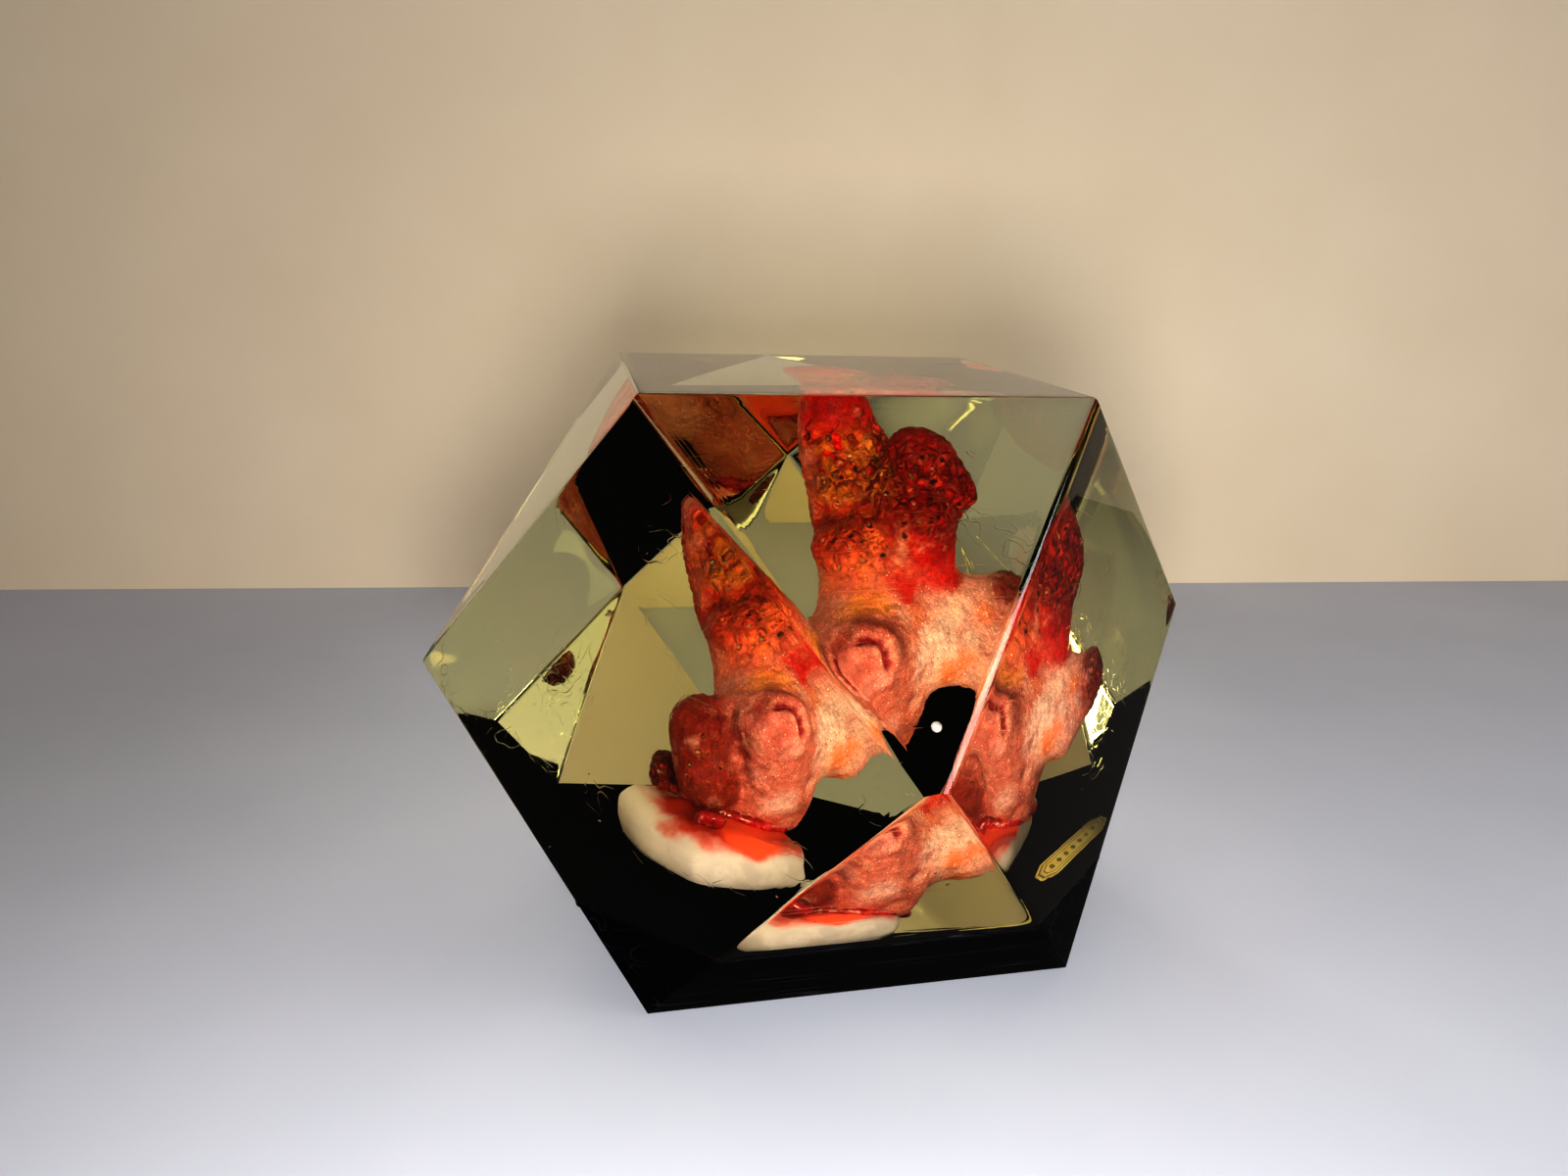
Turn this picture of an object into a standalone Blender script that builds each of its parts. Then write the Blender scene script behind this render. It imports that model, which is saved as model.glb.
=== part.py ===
# Coral sealed in a faceted resin block, on a black resin layer.
# Metres, +Z up, resting on the block's flat bottom face.
# Lengths in the tables are millimetres, turned into metres by mm().

import math

import bmesh
import bpy
from mathutils import Matrix, Vector, noise

# Driving dimensions of the block: a 64 mm cube whose corners are cut off through
# the middles of its edges, which leaves six squares and eight triangles.
BLOCK_HEIGHT = 64.0
HALF_HEIGHT = BLOCK_HEIGHT / 2
SQUARE_DISTANCE = HALF_HEIGHT
TRIANGLE_DISTANCE = SQUARE_DISTANCE * 2 / math.sqrt(3)
TRIANGLE_ELEVATION = math.degrees(math.asin(1 / math.sqrt(3)))
EDGE_FLAT_DEPTH = 0.11
SHORTEST_ROUNDED_EDGE = 4.0

BLACK_LAYER_HEIGHT = 9.9
GAP = 0.3
CLEAR_BOTTOM = BLACK_LAYER_HEIGHT + GAP
PARTING_Y = 2.5

# The faces are ground by hand, so some lie a little off the ideal directions.
# Each row: azimuth, elevation, distance from the block's centre, with its error.
GROUND_FACES = {
    "bottom": (0, -90, SQUARE_DISTANCE),
    "top": (0, 90 - 1.8, SQUARE_DISTANCE - 0.55),
    "side_front_left": (-135, 1.1, SQUARE_DISTANCE),
    "side_front_right": (-45 + 1.9, 0, SQUARE_DISTANCE + 0.55),
    "side_back_left": (135, 0, SQUARE_DISTANCE),
    "side_back_right": (45, 0, SQUARE_DISTANCE),
    "upper_front": (-90, TRIANGLE_ELEVATION + 2.2, TRIANGLE_DISTANCE),
    "upper_left": (180, TRIANGLE_ELEVATION + 2.0, TRIANGLE_DISTANCE - 0.6),
    "upper_right": (-1.1, TRIANGLE_ELEVATION + 2.6, TRIANGLE_DISTANCE),
    "upper_back": (90 - 3.3, TRIANGLE_ELEVATION + 0.9, TRIANGLE_DISTANCE),
    "lower_front": (-90 + 0.7, -TRIANGLE_ELEVATION + 1.2, TRIANGLE_DISTANCE),
    "lower_left": (180, -TRIANGLE_ELEVATION, TRIANGLE_DISTANCE),
    "lower_right": (0, -TRIANGLE_ELEVATION + 2.6, TRIANGLE_DISTANCE),
    "lower_back": (90, -TRIANGLE_ELEVATION, TRIANGLE_DISTANCE - 0.4),
}

# The coral's limbs as chains of stations (x, y, z above the bottom, radius).
CORAL_LIMBS = {
    "root_left": [(-1.5, 4.6, 16.0, 4.6), (0.5, 3.0, 20.5, 5.6)],
    "root_right": [(3.0, 2.6, 16.6, 4.2), (3.0, 2.2, 20.5, 6.0), (4.0, 1.6, 26.6, 6.1)],
    "root_corner": [(6.1, -0.2, 16.0, 1.9), (5.4, -1.6, 20.6, 3.2)],
    "shoulder": [(4.0, 1.6, 26.6, 6.0), (4.6, 6.0, 32.0, 5.4)],
    "eye_stub": [(2.4, -1.0, 25.6, 4.6), (1.4, -7.0, 28.3, 3.9)],
    "left_nub": [(-2.5, 5.5, 17.0, 3.2), (-7.5, 7.2, 18.2, 2.4)],
    "lower_lobe": [(4.0, 6.2, 32.6, 5.2), (3.8, 6.6, 34.6, 5.4)],
    "tall_branch": [(3.8, 11.0, 36.5, 4.9), (3.0, 14.6, 42.0, 4.8), (1.2, 14.0, 48.0, 3.6)],
    "knobbed_branch": [
        (9.2, 5.8, 33.0, 4.4), (9.9, 5.5, 39.0, 4.2), (11.7, 7.2, 42.2, 4.1), (10.6, 7.0, 45.8, 3.0),
    ],
    "arm_top": [(8.5, 3.2, 27.2, 4.0), (17.0, 5.0, 28.0, 2.9)],
    "arm_belly": [(8.5, 0.4, 25.0, 4.2), (13.0, 1.8, 23.6, 3.9), (17.0, 3.4, 25.4, 2.8)],
    "arm_knob": [(17.0, 4.4, 27.0, 2.6), (19.9, 5.0, 28.6, 2.5), (19.4, 5.0, 26.2, 2.3)],
    "left_knob": [(-4.8, -0.4, 20.6, 4.0), (-5.4, -0.2, 25.4, 4.2)],
}
CORAL_VOXEL = 1.22
CORAL_SMOOTHING = 5

# Knobs that carry pits and lumps: centre and reach.
PITTED_KNOBS = [
    (2.4, 14.0, 43.5, 9.5), (10.6, 6.4, 42.0, 8.5), (3.8, 5.5, 35.0, 6.5),
    (-5.2, -0.4, 23.0, 7.5), (19.6, 5.0, 27.4, 4.5),
]
LUMP_SPACING = 3.4
LUMP_HEIGHT = 0.34
GRAIN_SPACING = 1.7
GRAIN_HEIGHT = 0.12
PIT_SPACING = 2.7
PIT_RADIUS = 0.8
PIT_DEPTH = 0.42

# Hollows seen on the stub and the trunk: place, reach and depth.
HOLLOWS = [
    (1.7, -10.0, 31.5, 1.7, 0.7), (2.8, -10.8, 29.3, 1.5, 0.6), (4.5, -8.9, 27.8, 1.4, 0.45),
    (-0.3, -11.0, 27.4, 1.3, 0.35), (6.4, -4.4, 20.4, 1.9, 0.55), (-0.9, 8.8, 38.4, 1.9, 0.5),
]

# Each branch begins at its fork, in a region bounded by planes: a point on the
# plane, and the direction into the region.
FORK_REGIONS = {
    "coral_tall_branch": [
        ((3.4, 10.4, 38.4), (-0.07, 0.73, 0.68)),
        ((6.7, 8.8, 38.0), (-0.75, 0.66, 0.0)),
    ],
    "coral_knobbed_branch": [
        ((8.0, 5.5, 36.3), (0.6, 0.0, 0.8)),
        ((6.7, 8.8, 38.0), (0.75, -0.66, 0.0)),
        ((14.0, 5.0, 32.0), (0.0, 0.0, 1.0)),
    ],
    "coral_right_arm": [
        ((10.4, 2.0, 26.0), (0.97, 0.2, 0.0)),
        ((14.0, 5.0, 32.0), (0.0, 0.0, -1.0)),
    ],
    "coral_left_knob": [
        ((-2.4, 0.6, 22.0), (-0.9, -0.43, 0.0)),
        ((-2.6, -3.6, 26.0), (-0.9, 0.43, 0.0)),
        ((-6.0, 4.5, 20.0), (0.0, -1.0, 0.0)),
    ],
}

# The coral was broken off here and glued to its foot, on a slight slope.
BREAK_POINT = (2.0, 1.0, 15.7)
BREAK_NORMAL = (0.2, 0.0, 1.0)
GLUE_THICKNESS = 0.9

FOOT_LIMBS = {
    "left_end": [(-10.4, 9.0, 12.4, 3.9), (-10.8, 2.0, 12.2, 3.7), (-7.5, -5.6, 12.0, 3.9)],
    "front": [(-7.5, -5.6, 12.0, 3.9), (-2.0, -6.8, 12.2, 3.7), (2.6, -6.4, 12.8, 3.3)],
    "right_end": [(2.6, -6.4, 12.8, 3.3), (2.6, -2.4, 12.6, 3.2), (3.0, 5.0, 12.0, 3.4)],
    "back": [(-9.0, 10.0, 12.0, 3.8), (-2.0, 11.0, 11.8, 3.6), (3.0, 6.5, 11.8, 3.6)],
    "table": [(-5.5, 4.0, 11.8, 4.8), (1.0, 2.0, 11.6, 4.2)],
    "table_front": [(-4.0, -1.6, 12.2, 4.0), (2.0, -1.6, 12.0, 3.2)],
}
FOOT_VOXEL = 1.6
FOOT_SMOOTHING = 4

GLUE_CENTRE = (0.6, 3.2)
GLUE_RADII = (6.9, 5.7)
GLUE_SIDES = 28

LABEL_CENTRE = (19.8, -7.9)
LABEL_SIZE = (18.6, 8.6)
LABEL_THICKNESS = 0.2
LABEL_CORNER = 2.6
LABEL_ANGLE = 41.0

# The pocket follows the specimen, this much larger all round.
POCKET_MARGIN = 1.1
POCKET_VOXEL = 2.1
POCKET_SMOOTHING = 2
LABEL_POCKET_MARGIN = 0.35

CLEAR_COLOUR = (0.80, 0.80, 0.58, 1)
BLACK_COLOUR = (0.006, 0.006, 0.008, 1)
CORAL_COLOUR = (0.62, 0.12, 0.07, 1)
FOOT_COLOUR = (0.72, 0.66, 0.55, 1)
GLUE_COLOUR = (0.45, 0.02, 0.015, 1)
GOLD_COLOUR = (0.80, 0.58, 0.20, 1)


def mm(*values):
    """Millimetres to metres, as a number or a vector."""
    if len(values) == 1:
        return values[0] / 1000
    return Vector(values) / 1000


def clear_scene():
    for old in list(bpy.data.objects):
        bpy.data.objects.remove(old, do_unlink=True)


def new_object(name, bm):
    """Make an object from a bmesh, which is freed."""
    mesh = bpy.data.meshes.new(name)
    bm.to_mesh(mesh)
    bm.free()
    item = bpy.data.objects.new(name, mesh)
    bpy.context.scene.collection.objects.link(item)
    return item


def add_material(item, colour, roughness, metallic=0.0, transmission=0.0):
    material = bpy.data.materials.new(item.name + "_material")
    material.use_nodes = True
    shader = material.node_tree.nodes["Principled BSDF"]
    shader.inputs["Base Color"].default_value = colour
    shader.inputs["Roughness"].default_value = roughness
    shader.inputs["Metallic"].default_value = metallic
    shader.inputs["Transmission Weight"].default_value = transmission
    item.data.materials.clear()
    item.data.materials.append(material)


def apply_modifiers(item):
    """Keep the mesh as the modifiers leave it."""
    graph = bpy.context.evaluated_depsgraph_get()
    mesh = bpy.data.meshes.new_from_object(item.evaluated_get(graph))
    item.modifiers.clear()
    item.data = mesh


def cut_away(bm, point, outward):
    """Remove what lies on the outward side of a plane and close the cut."""
    everything = bm.verts[:] + bm.edges[:] + bm.faces[:]
    cut = bmesh.ops.bisect_plane(
        bm, geom=everything, plane_co=point, plane_no=outward, dist=1e-7, clear_outer=True)
    edges = [part for part in cut["geom_cut"] if isinstance(part, bmesh.types.BMEdge)]
    open_edges = [edge for edge in edges if edge.is_boundary]
    if open_edges:
        bmesh.ops.holes_fill(bm, edges=open_edges, sides=0)


def face_plane(azimuth, elevation, distance):
    """A face's outward direction and a point on it."""
    turn = math.radians(azimuth)
    rise = math.radians(elevation)
    outward = Vector((
        math.cos(rise) * math.cos(turn), math.cos(rise) * math.sin(turn), math.sin(rise)))
    return mm(0, 0, HALF_HEIGHT) + outward * mm(distance), outward


def block_mesh():
    """The whole block: a large cube cut by each ground face, then along each edge."""
    bm = bmesh.new()
    bmesh.ops.create_cube(
        bm, size=mm(3 * BLOCK_HEIGHT), matrix=Matrix.Translation(mm(0, 0, HALF_HEIGHT)))
    for azimuth, elevation, distance in GROUND_FACES.values():
        cut_away(bm, *face_plane(azimuth, elevation, distance))
    bm.normal_update()
    edge_cuts = []
    for edge in bm.edges:
        if edge.calc_length() > mm(SHORTEST_ROUNDED_EDGE):
            outward = (edge.link_faces[0].normal + edge.link_faces[1].normal).normalized()
            middle = (edge.verts[0].co + edge.verts[1].co) / 2
            edge_cuts.append((middle - outward * mm(EDGE_FLAT_DEPTH), outward))
    for point, outward in edge_cuts:
        cut_away(bm, point, outward)
    bmesh.ops.recalc_face_normals(bm, faces=bm.faces)
    return bm


def ball_points():
    """Points spread evenly over a ball of radius 1."""
    bm = bmesh.new()
    bmesh.ops.create_icosphere(bm, subdivisions=3, radius=1)
    points = [vert.co.copy() for vert in bm.verts]
    bm.free()
    return points


def add_round_cone(bm, points, start, end, margin):
    """A closed hull around two balls, each given as x, y, z, radius."""
    verts = []
    for x, y, z, radius in (start, end):
        verts += [bm.verts.new(mm(x, y, z) + point * mm(radius + margin)) for point in points]
    hull = bmesh.ops.convex_hull(bm, input=verts)
    on_hull = {vert for face in hull["geom"] if isinstance(face, bmesh.types.BMFace)
               for vert in face.verts}
    inside = [vert for vert in verts if vert not in on_hull]
    bmesh.ops.delete(bm, geom=inside, context="VERTS")


def grown_form(name, chains, margin, voxel, smoothing):
    """Fuse chains of stations into one closed, softly filleted form."""
    bm = bmesh.new()
    points = ball_points()
    for chain in chains:
        for start, end in zip(chain, chain[1:]):
            add_round_cone(bm, points, start, end, margin)
    form = new_object(name, bm)
    fuse = form.modifiers.new("fuse", "REMESH")
    fuse.mode = "VOXEL"
    fuse.voxel_size = mm(voxel)
    fillet = form.modifiers.new("fillet", "SMOOTH")
    fillet.factor = 0.5
    fillet.iterations = smoothing
    apply_modifiers(form)
    return form


def fade(distance, reach):
    """1 at the centre, 0 at the reach and beyond, smooth between."""
    share = max(0.0, 1 - distance / mm(reach))
    return share * share * (3 - 2 * share)


def raise_surface(form):
    """Lumps and grain all over, pits on the knobs, and the hollows."""
    normals = [vert.normal.copy() for vert in form.data.vertices]
    for vert, normal in zip(form.data.vertices, normals):
        place = vert.co.copy()
        pitted = max(
            min(1.0, 2.5 * fade((place - mm(x, y, z)).length, reach))
            for x, y, z, reach in PITTED_KNOBS)
        lump = noise.noise(place / mm(LUMP_SPACING)) * LUMP_HEIGHT * (0.45 + 0.75 * pitted)
        grain = noise.noise(place / mm(GRAIN_SPACING)) * GRAIN_HEIGHT
        nearest_pit = noise.voronoi(place / mm(PIT_SPACING))[0][0] * mm(PIT_SPACING)
        pit = fade(nearest_pit, PIT_RADIUS) * PIT_DEPTH * pitted
        hollow = sum(
            fade((place - mm(x, y, z)).length, reach) * depth
            for x, y, z, reach, depth in HOLLOWS)
        vert.co = place + normal * mm(lump + grain - pit - hollow)


def region_cutter(name, planes, shift):
    """A convex block on the inner side of every plane, moved outwards by shift."""
    bm = bmesh.new()
    bmesh.ops.create_cube(
        bm, size=mm(2 * BLOCK_HEIGHT), matrix=Matrix.Translation(mm(0, 0, HALF_HEIGHT)))
    for point, inward in planes:
        direction = Vector(inward).normalized()
        cut_away(bm, mm(*point) - direction * mm(shift), -direction)
    bmesh.ops.recalc_face_normals(bm, faces=bm.faces)
    cutter = new_object(name, bm)
    cutter.display_type = "WIRE"
    cutter.hide_render = True
    return cutter


def boolean(item, cutter, operation):
    step = item.modifiers.new(cutter.name, "BOOLEAN")
    step.solver = "EXACT"
    step.operation = operation
    step.object = cutter


def copy_of(item, name):
    twin = item.copy()
    twin.data = item.data.copy()
    twin.name = name
    bpy.context.scene.collection.objects.link(twin)
    return twin


def keep_largest_body(item):
    """Drop crumbs that a cut leaves loose."""
    bm = bmesh.new()
    bm.from_mesh(item.data)
    unseen = set(bm.verts)
    bodies = []
    while unseen:
        stack = [unseen.pop()]
        body = set(stack)
        while stack:
            for edge in stack.pop().link_edges:
                for vert in edge.verts:
                    if vert in unseen:
                        unseen.remove(vert)
                        body.add(vert)
                        stack.append(vert)
        bodies.append(body)
    bodies.sort(key=len)
    crumbs = [vert for body in bodies[:-1] for vert in body]
    bmesh.ops.delete(bm, geom=crumbs, context="VERTS")
    bm.to_mesh(item.data)
    bm.free()


def shade(item, smooth):
    if smooth:
        item.data.shade_smooth()
        item.data.set_sharp_from_angle(angle=math.radians(50))
    else:
        item.data.shade_flat()


def make_coral():
    """The fused coral, split at its main forks."""
    whole = grown_form(
        "coral_trunk", CORAL_LIMBS.values(), 0, CORAL_VOXEL, CORAL_SMOOTHING)
    raise_surface(whole)
    bm = bmesh.new()
    bm.from_mesh(whole.data)
    cut_away(bm, mm(*BREAK_POINT), -Vector(BREAK_NORMAL))
    bm.to_mesh(whole.data)
    bm.free()
    pieces = [whole]
    cutters = []
    for name, planes in FORK_REGIONS.items():
        branch = copy_of(whole, name)
        inner = region_cutter(name + "_region", planes, -GAP / 2)
        outer = region_cutter(name + "_kerf", planes, GAP / 2)
        boolean(branch, inner, "INTERSECT")
        pieces.append(branch)
        cutters += [inner, outer]
    for outer in cutters[1::2]:
        boolean(whole, outer, "DIFFERENCE")
    for piece in pieces:
        apply_modifiers(piece)
        keep_largest_body(piece)
        shade(piece, True)
        add_material(piece, CORAL_COLOUR, 0.45)
    for cutter in cutters:
        bpy.data.objects.remove(cutter, do_unlink=True)
    return pieces


def below_break(depth):
    """A point below the break, at a depth measured square to it."""
    return mm(*BREAK_POINT) - Vector(BREAK_NORMAL).normalized() * mm(depth)


def make_glue():
    """A thin pad of set glue between the coral and its foot, with a rounded rim."""
    bm = bmesh.new()
    middle = below_break(GAP + GLUE_THICKNESS / 2)
    normal = Vector(BREAK_NORMAL).normalized()
    slope = Vector((0, 0, 1)).rotation_difference(normal).to_matrix()
    rings = []
    for height, share in ((-0.5, 0.955), (-0.2, 1.0), (0.2, 1.0), (0.5, 0.955)):
        ring = []
        for step in range(GLUE_SIDES):
            turn = math.tau * step / GLUE_SIDES
            flat = mm(
                GLUE_CENTRE[0] - BREAK_POINT[0] + GLUE_RADII[0] * share * math.cos(turn),
                GLUE_CENTRE[1] - BREAK_POINT[1] + GLUE_RADII[1] * share * math.sin(turn),
                height * GLUE_THICKNESS)
            ring.append(bm.verts.new(middle + slope @ flat))
        rings.append(ring)
    for low, high in zip(rings, rings[1:]):
        for step in range(GLUE_SIDES):
            after = (step + 1) % GLUE_SIDES
            bm.faces.new((low[step], low[after], high[after], high[step]))
    bm.faces.new(rings[0][::-1])
    bm.faces.new(rings[-1])
    glue = new_object("red_glue_pad", bm)
    shade(glue, True)
    add_material(glue, GLUE_COLOUR, 0.2)
    return glue


def make_foot():
    """The white plaster foot, flat below and cut to a table under the glue."""
    foot = grown_form("white_foot", FOOT_LIMBS.values(), 0, FOOT_VOXEL, FOOT_SMOOTHING)
    bm = bmesh.new()
    bm.from_mesh(foot.data)
    cut_away(bm, mm(0, 0, CLEAR_BOTTOM), Vector((0, 0, -1)))
    cut_away(bm, below_break(GLUE_THICKNESS + 2 * GAP), Vector(BREAK_NORMAL))
    bm.to_mesh(foot.data)
    bm.free()
    shade(foot, True)
    add_material(foot, FOOT_COLOUR, 0.6)
    return foot


def label_plate(name, margin, bottom, top):
    """An upright plate in the label's outline, a rectangle with its corners cut off."""
    bm = bmesh.new()
    bmesh.ops.create_cube(bm, size=1)
    size = mm(LABEL_SIZE[0] + 2 * margin, LABEL_SIZE[1] + 2 * margin, top - bottom)
    for vert in bm.verts:
        vert.co = Vector(a * b for a, b in zip(vert.co, size))
    for side_x in (-1, 1):
        for side_y in (-1, 1):
            x = LABEL_SIZE[0] / 2 + margin
            y = LABEL_SIZE[1] / 2 + margin - LABEL_CORNER
            cut_away(bm, mm(side_x * x, side_y * y, 0), Vector((side_x, side_y, 0)))
    place = Matrix.Translation(mm(*LABEL_CENTRE, (bottom + top) / 2))
    bm.transform(place @ Matrix.Rotation(math.radians(LABEL_ANGLE), 4, "Z"))
    return new_object(name, bm)


def make_label():
    """The plain gold foil label that lies on the black layer."""
    label = label_plate("gold_label", 0, CLEAR_BOTTOM, CLEAR_BOTTOM + LABEL_THICKNESS)
    shade(label, False)
    add_material(label, GOLD_COLOUR, 0.25, metallic=1.0)
    return label


def make_pocket():
    """The hollow that holds coral, glue and foot, with room all round."""
    glue_core = [(-2.8, GLUE_CENTRE[1], 16.0, 5.0), (4.0, GLUE_CENTRE[1], 14.4, 4.9)]
    chains = [*CORAL_LIMBS.values(), *FOOT_LIMBS.values(), glue_core]
    pocket = grown_form("pocket", chains, POCKET_MARGIN, POCKET_VOXEL, POCKET_SMOOTHING)
    pocket.display_type = "WIRE"
    pocket.hide_render = True
    return pocket


def make_block():
    """The black layer, and the clear resin parted in two around the pocket."""
    whole = block_mesh()
    base = whole.copy()
    front = whole.copy()
    back = whole.copy()
    whole.free()
    up = Vector((0, 0, 1))
    ahead = Vector((0, 1, 0))
    cut_away(base, mm(0, 0, BLACK_LAYER_HEIGHT), up)
    for half in (front, back):
        cut_away(half, mm(0, 0, CLEAR_BOTTOM), -up)
    cut_away(front, mm(0, PARTING_Y - GAP / 2, 0), ahead)
    cut_away(back, mm(0, PARTING_Y + GAP / 2, 0), -ahead)
    base = new_object("black_resin_base", base)
    halves = [new_object("clear_resin_front", front), new_object("clear_resin_back", back)]
    pocket = make_pocket()
    label_pocket = label_plate(
        "label_pocket", LABEL_POCKET_MARGIN, BLACK_LAYER_HEIGHT - GAP,
        CLEAR_BOTTOM + LABEL_THICKNESS + LABEL_POCKET_MARGIN)
    for half in halves:
        boolean(half, pocket, "DIFFERENCE")
    boolean(halves[0], label_pocket, "DIFFERENCE")
    for half in halves:
        apply_modifiers(half)
        keep_largest_body(half)
        shade(half, False)
        add_material(half, CLEAR_COLOUR, 0.02, transmission=1.0)
    shade(base, False)
    add_material(base, BLACK_COLOUR, 0.08)
    for cutter in (pocket, label_pocket):
        bpy.data.objects.remove(cutter, do_unlink=True)
    return [base, *halves]


def centre_on_origin(items):
    """Put the origin under the middle of the object's box, on its bottom."""
    corners = [vert.co for item in items for vert in item.data.vertices]
    low = Vector(min(corner[axis] for corner in corners) for axis in range(3))
    high = Vector(max(corner[axis] for corner in corners) for axis in range(3))
    middle = (low + high) / 2
    for item in items:
        item.data.transform(Matrix.Translation((-middle.x, -middle.y, -low.z)))


clear_scene()
centre_on_origin([*make_block(), *make_coral(), make_glue(), make_foot(), make_label()])
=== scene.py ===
import math
import random

import bpy
import numpy as np
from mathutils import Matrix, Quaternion, Vector, noise


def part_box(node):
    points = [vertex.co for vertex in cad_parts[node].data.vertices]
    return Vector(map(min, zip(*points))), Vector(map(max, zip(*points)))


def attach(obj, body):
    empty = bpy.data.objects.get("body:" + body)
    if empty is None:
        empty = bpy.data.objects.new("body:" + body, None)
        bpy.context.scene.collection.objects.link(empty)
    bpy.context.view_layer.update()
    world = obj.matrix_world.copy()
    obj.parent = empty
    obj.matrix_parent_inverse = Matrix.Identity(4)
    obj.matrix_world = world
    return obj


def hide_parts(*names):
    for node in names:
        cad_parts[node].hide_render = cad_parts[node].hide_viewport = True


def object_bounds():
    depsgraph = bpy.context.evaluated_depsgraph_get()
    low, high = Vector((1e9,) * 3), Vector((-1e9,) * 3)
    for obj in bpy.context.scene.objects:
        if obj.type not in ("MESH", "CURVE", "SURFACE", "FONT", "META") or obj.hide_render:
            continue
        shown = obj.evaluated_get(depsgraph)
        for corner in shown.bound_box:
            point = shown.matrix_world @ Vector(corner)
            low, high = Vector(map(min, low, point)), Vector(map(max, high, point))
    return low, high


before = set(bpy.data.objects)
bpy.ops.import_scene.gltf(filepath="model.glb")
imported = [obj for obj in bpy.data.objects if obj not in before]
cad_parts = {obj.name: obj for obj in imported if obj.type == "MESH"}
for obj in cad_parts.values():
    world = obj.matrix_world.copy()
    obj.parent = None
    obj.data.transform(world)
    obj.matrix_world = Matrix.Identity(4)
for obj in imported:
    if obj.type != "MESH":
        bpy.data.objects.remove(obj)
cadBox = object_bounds()
mm = 0.001
print("frame loaded:", len(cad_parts), "nodes")

# places below are in mm from the middle of the block's underside: x right, y away from the viewer, z up
labelCentre = (19.8, -7.9)
labelLow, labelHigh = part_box("gold_label")
blockFoot = (labelLow + labelHigh) / 2 - Vector((*labelCentre, 0)) * mm
blockFoot.z = cadBox[0].z
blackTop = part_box("black_resin_base")[1].z


def spot(x, y, z):
    return blockFoot + Vector((x, y, z)) * mm


def paint(red, green, blue):
    # an sRGB colour of 0 to 255, as Blender's linear one
    parts = [part / 255 for part in (red, green, blue)]
    linear = [((part + 0.055) / 1.055) ** 2.4 if part > 0.04 else part / 12.92 for part in parts]
    return (*linear, 1.0)


def only(piece):
    bpy.ops.object.select_all(action="DESELECT")
    piece.select_set(True)
    bpy.context.view_layer.objects.active = piece


def named(name):
    piece = bpy.context.active_object
    piece.name = name
    piece.data.name = name
    return piece


def modify(piece, kind, **settings):
    only(piece)
    step = piece.modifiers.new(kind.lower(), kind)
    for setting, value in settings.items():
        setattr(step, setting, value)
    bpy.ops.object.modifier_apply(modifier=step.name)


def joined(pieces, name):
    bpy.ops.object.select_all(action="DESELECT")
    for piece in pieces:
        piece.select_set(True)
    bpy.context.view_layer.objects.active = pieces[0]
    if len(pieces) > 1:
        bpy.ops.object.join()
    piece = named(name)
    bpy.ops.object.transform_apply(location=True, rotation=True, scale=True)
    return piece


def cutAway(point, outward):
    # in edit mode: removes what lies on the outward side of a plane and closes the cut
    bpy.ops.mesh.select_all(action="SELECT")
    bpy.ops.mesh.bisect(plane_co=point, plane_no=outward, use_fill=True, clear_outer=True, threshold=1e-6)


# material helpers, and the effects that several finishes share

def wire(tree, new, ins):
    for socket, value in ins.items():
        if isinstance(value, bpy.types.NodeSocket):
            tree.links.new(value, new.inputs[socket])
        else:
            new.inputs[socket].default_value = value
    return new


def node(tree, kind, ins=None, **settings):
    new = tree.nodes.new("ShaderNode" + kind)
    for setting, value in settings.items():
        setattr(new, setting, value)
    return wire(tree, new, ins or {})


def maths(tree, operation, first, second):
    return node(tree, "Math", {0: first, 1: second}, operation=operation).outputs[0]


def times(tree, first, *others):
    # the product of all the values
    for other in others:
        first = maths(tree, "MULTIPLY", first, other)
    return first


def ramp(tree, value, fromLow, fromHigh, toLow=0.0, toHigh=1.0):
    ins = {"Value": value, "From Min": fromLow, "From Max": fromHigh, "To Min": toLow, "To Max": toHigh}
    return node(tree, "MapRange", ins, interpolation_type="SMOOTHSTEP").outputs[0]


def mixed(tree, share, first, second, blend="MIX"):
    new = node(tree, "Mix", None, data_type="RGBA", blend_type=blend)
    return wire(tree, new, {0: share, 6: first, 7: second}).outputs[2]


def tinted(tree, tone, colour, *shares):
    # the tone with a colour mixed in, by the product of the shares
    return mixed(tree, times(tree, *shares), tone, paint(*colour))


def shaded(tree, tone, level):
    # the tone made lighter or darker by a level around 1
    grey = node(tree, "CombineColor", {0: level, 1: level, 2: level}).outputs[0]
    return mixed(tree, 1.0, tone, grey, "MULTIPLY")


def noiseAt(tree, place, scale, detail=2.0, rough=0.5):
    ins = {"Vector": place, "Scale": scale, "Detail": detail, "Roughness": rough}
    return node(tree, "TexNoise", ins).outputs[0]


def clouded(tree, cloudy, low, high, fromLow=0.35, fromHigh=0.65):
    # one colour running into another where the noise is high
    return mixed(tree, ramp(tree, cloudy, fromLow, fromHigh), paint(*low), paint(*high))


def cellsAt(tree, place, scale):
    # round cells: the distance from each one's middle, and three chance values of each
    cells = node(tree, "TexVoronoi", {"Vector": place, "Scale": scale}).outputs
    return cells["Distance"], node(tree, "SeparateColor", {0: cells["Color"]}).outputs


def mapped(tree, place, **moves):
    return node(tree, "Mapping", {"Vector": place, **moves}).outputs[0]


def attribute(tree, name):
    return node(tree, "Attribute", None, attribute_name=name).outputs


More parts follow.
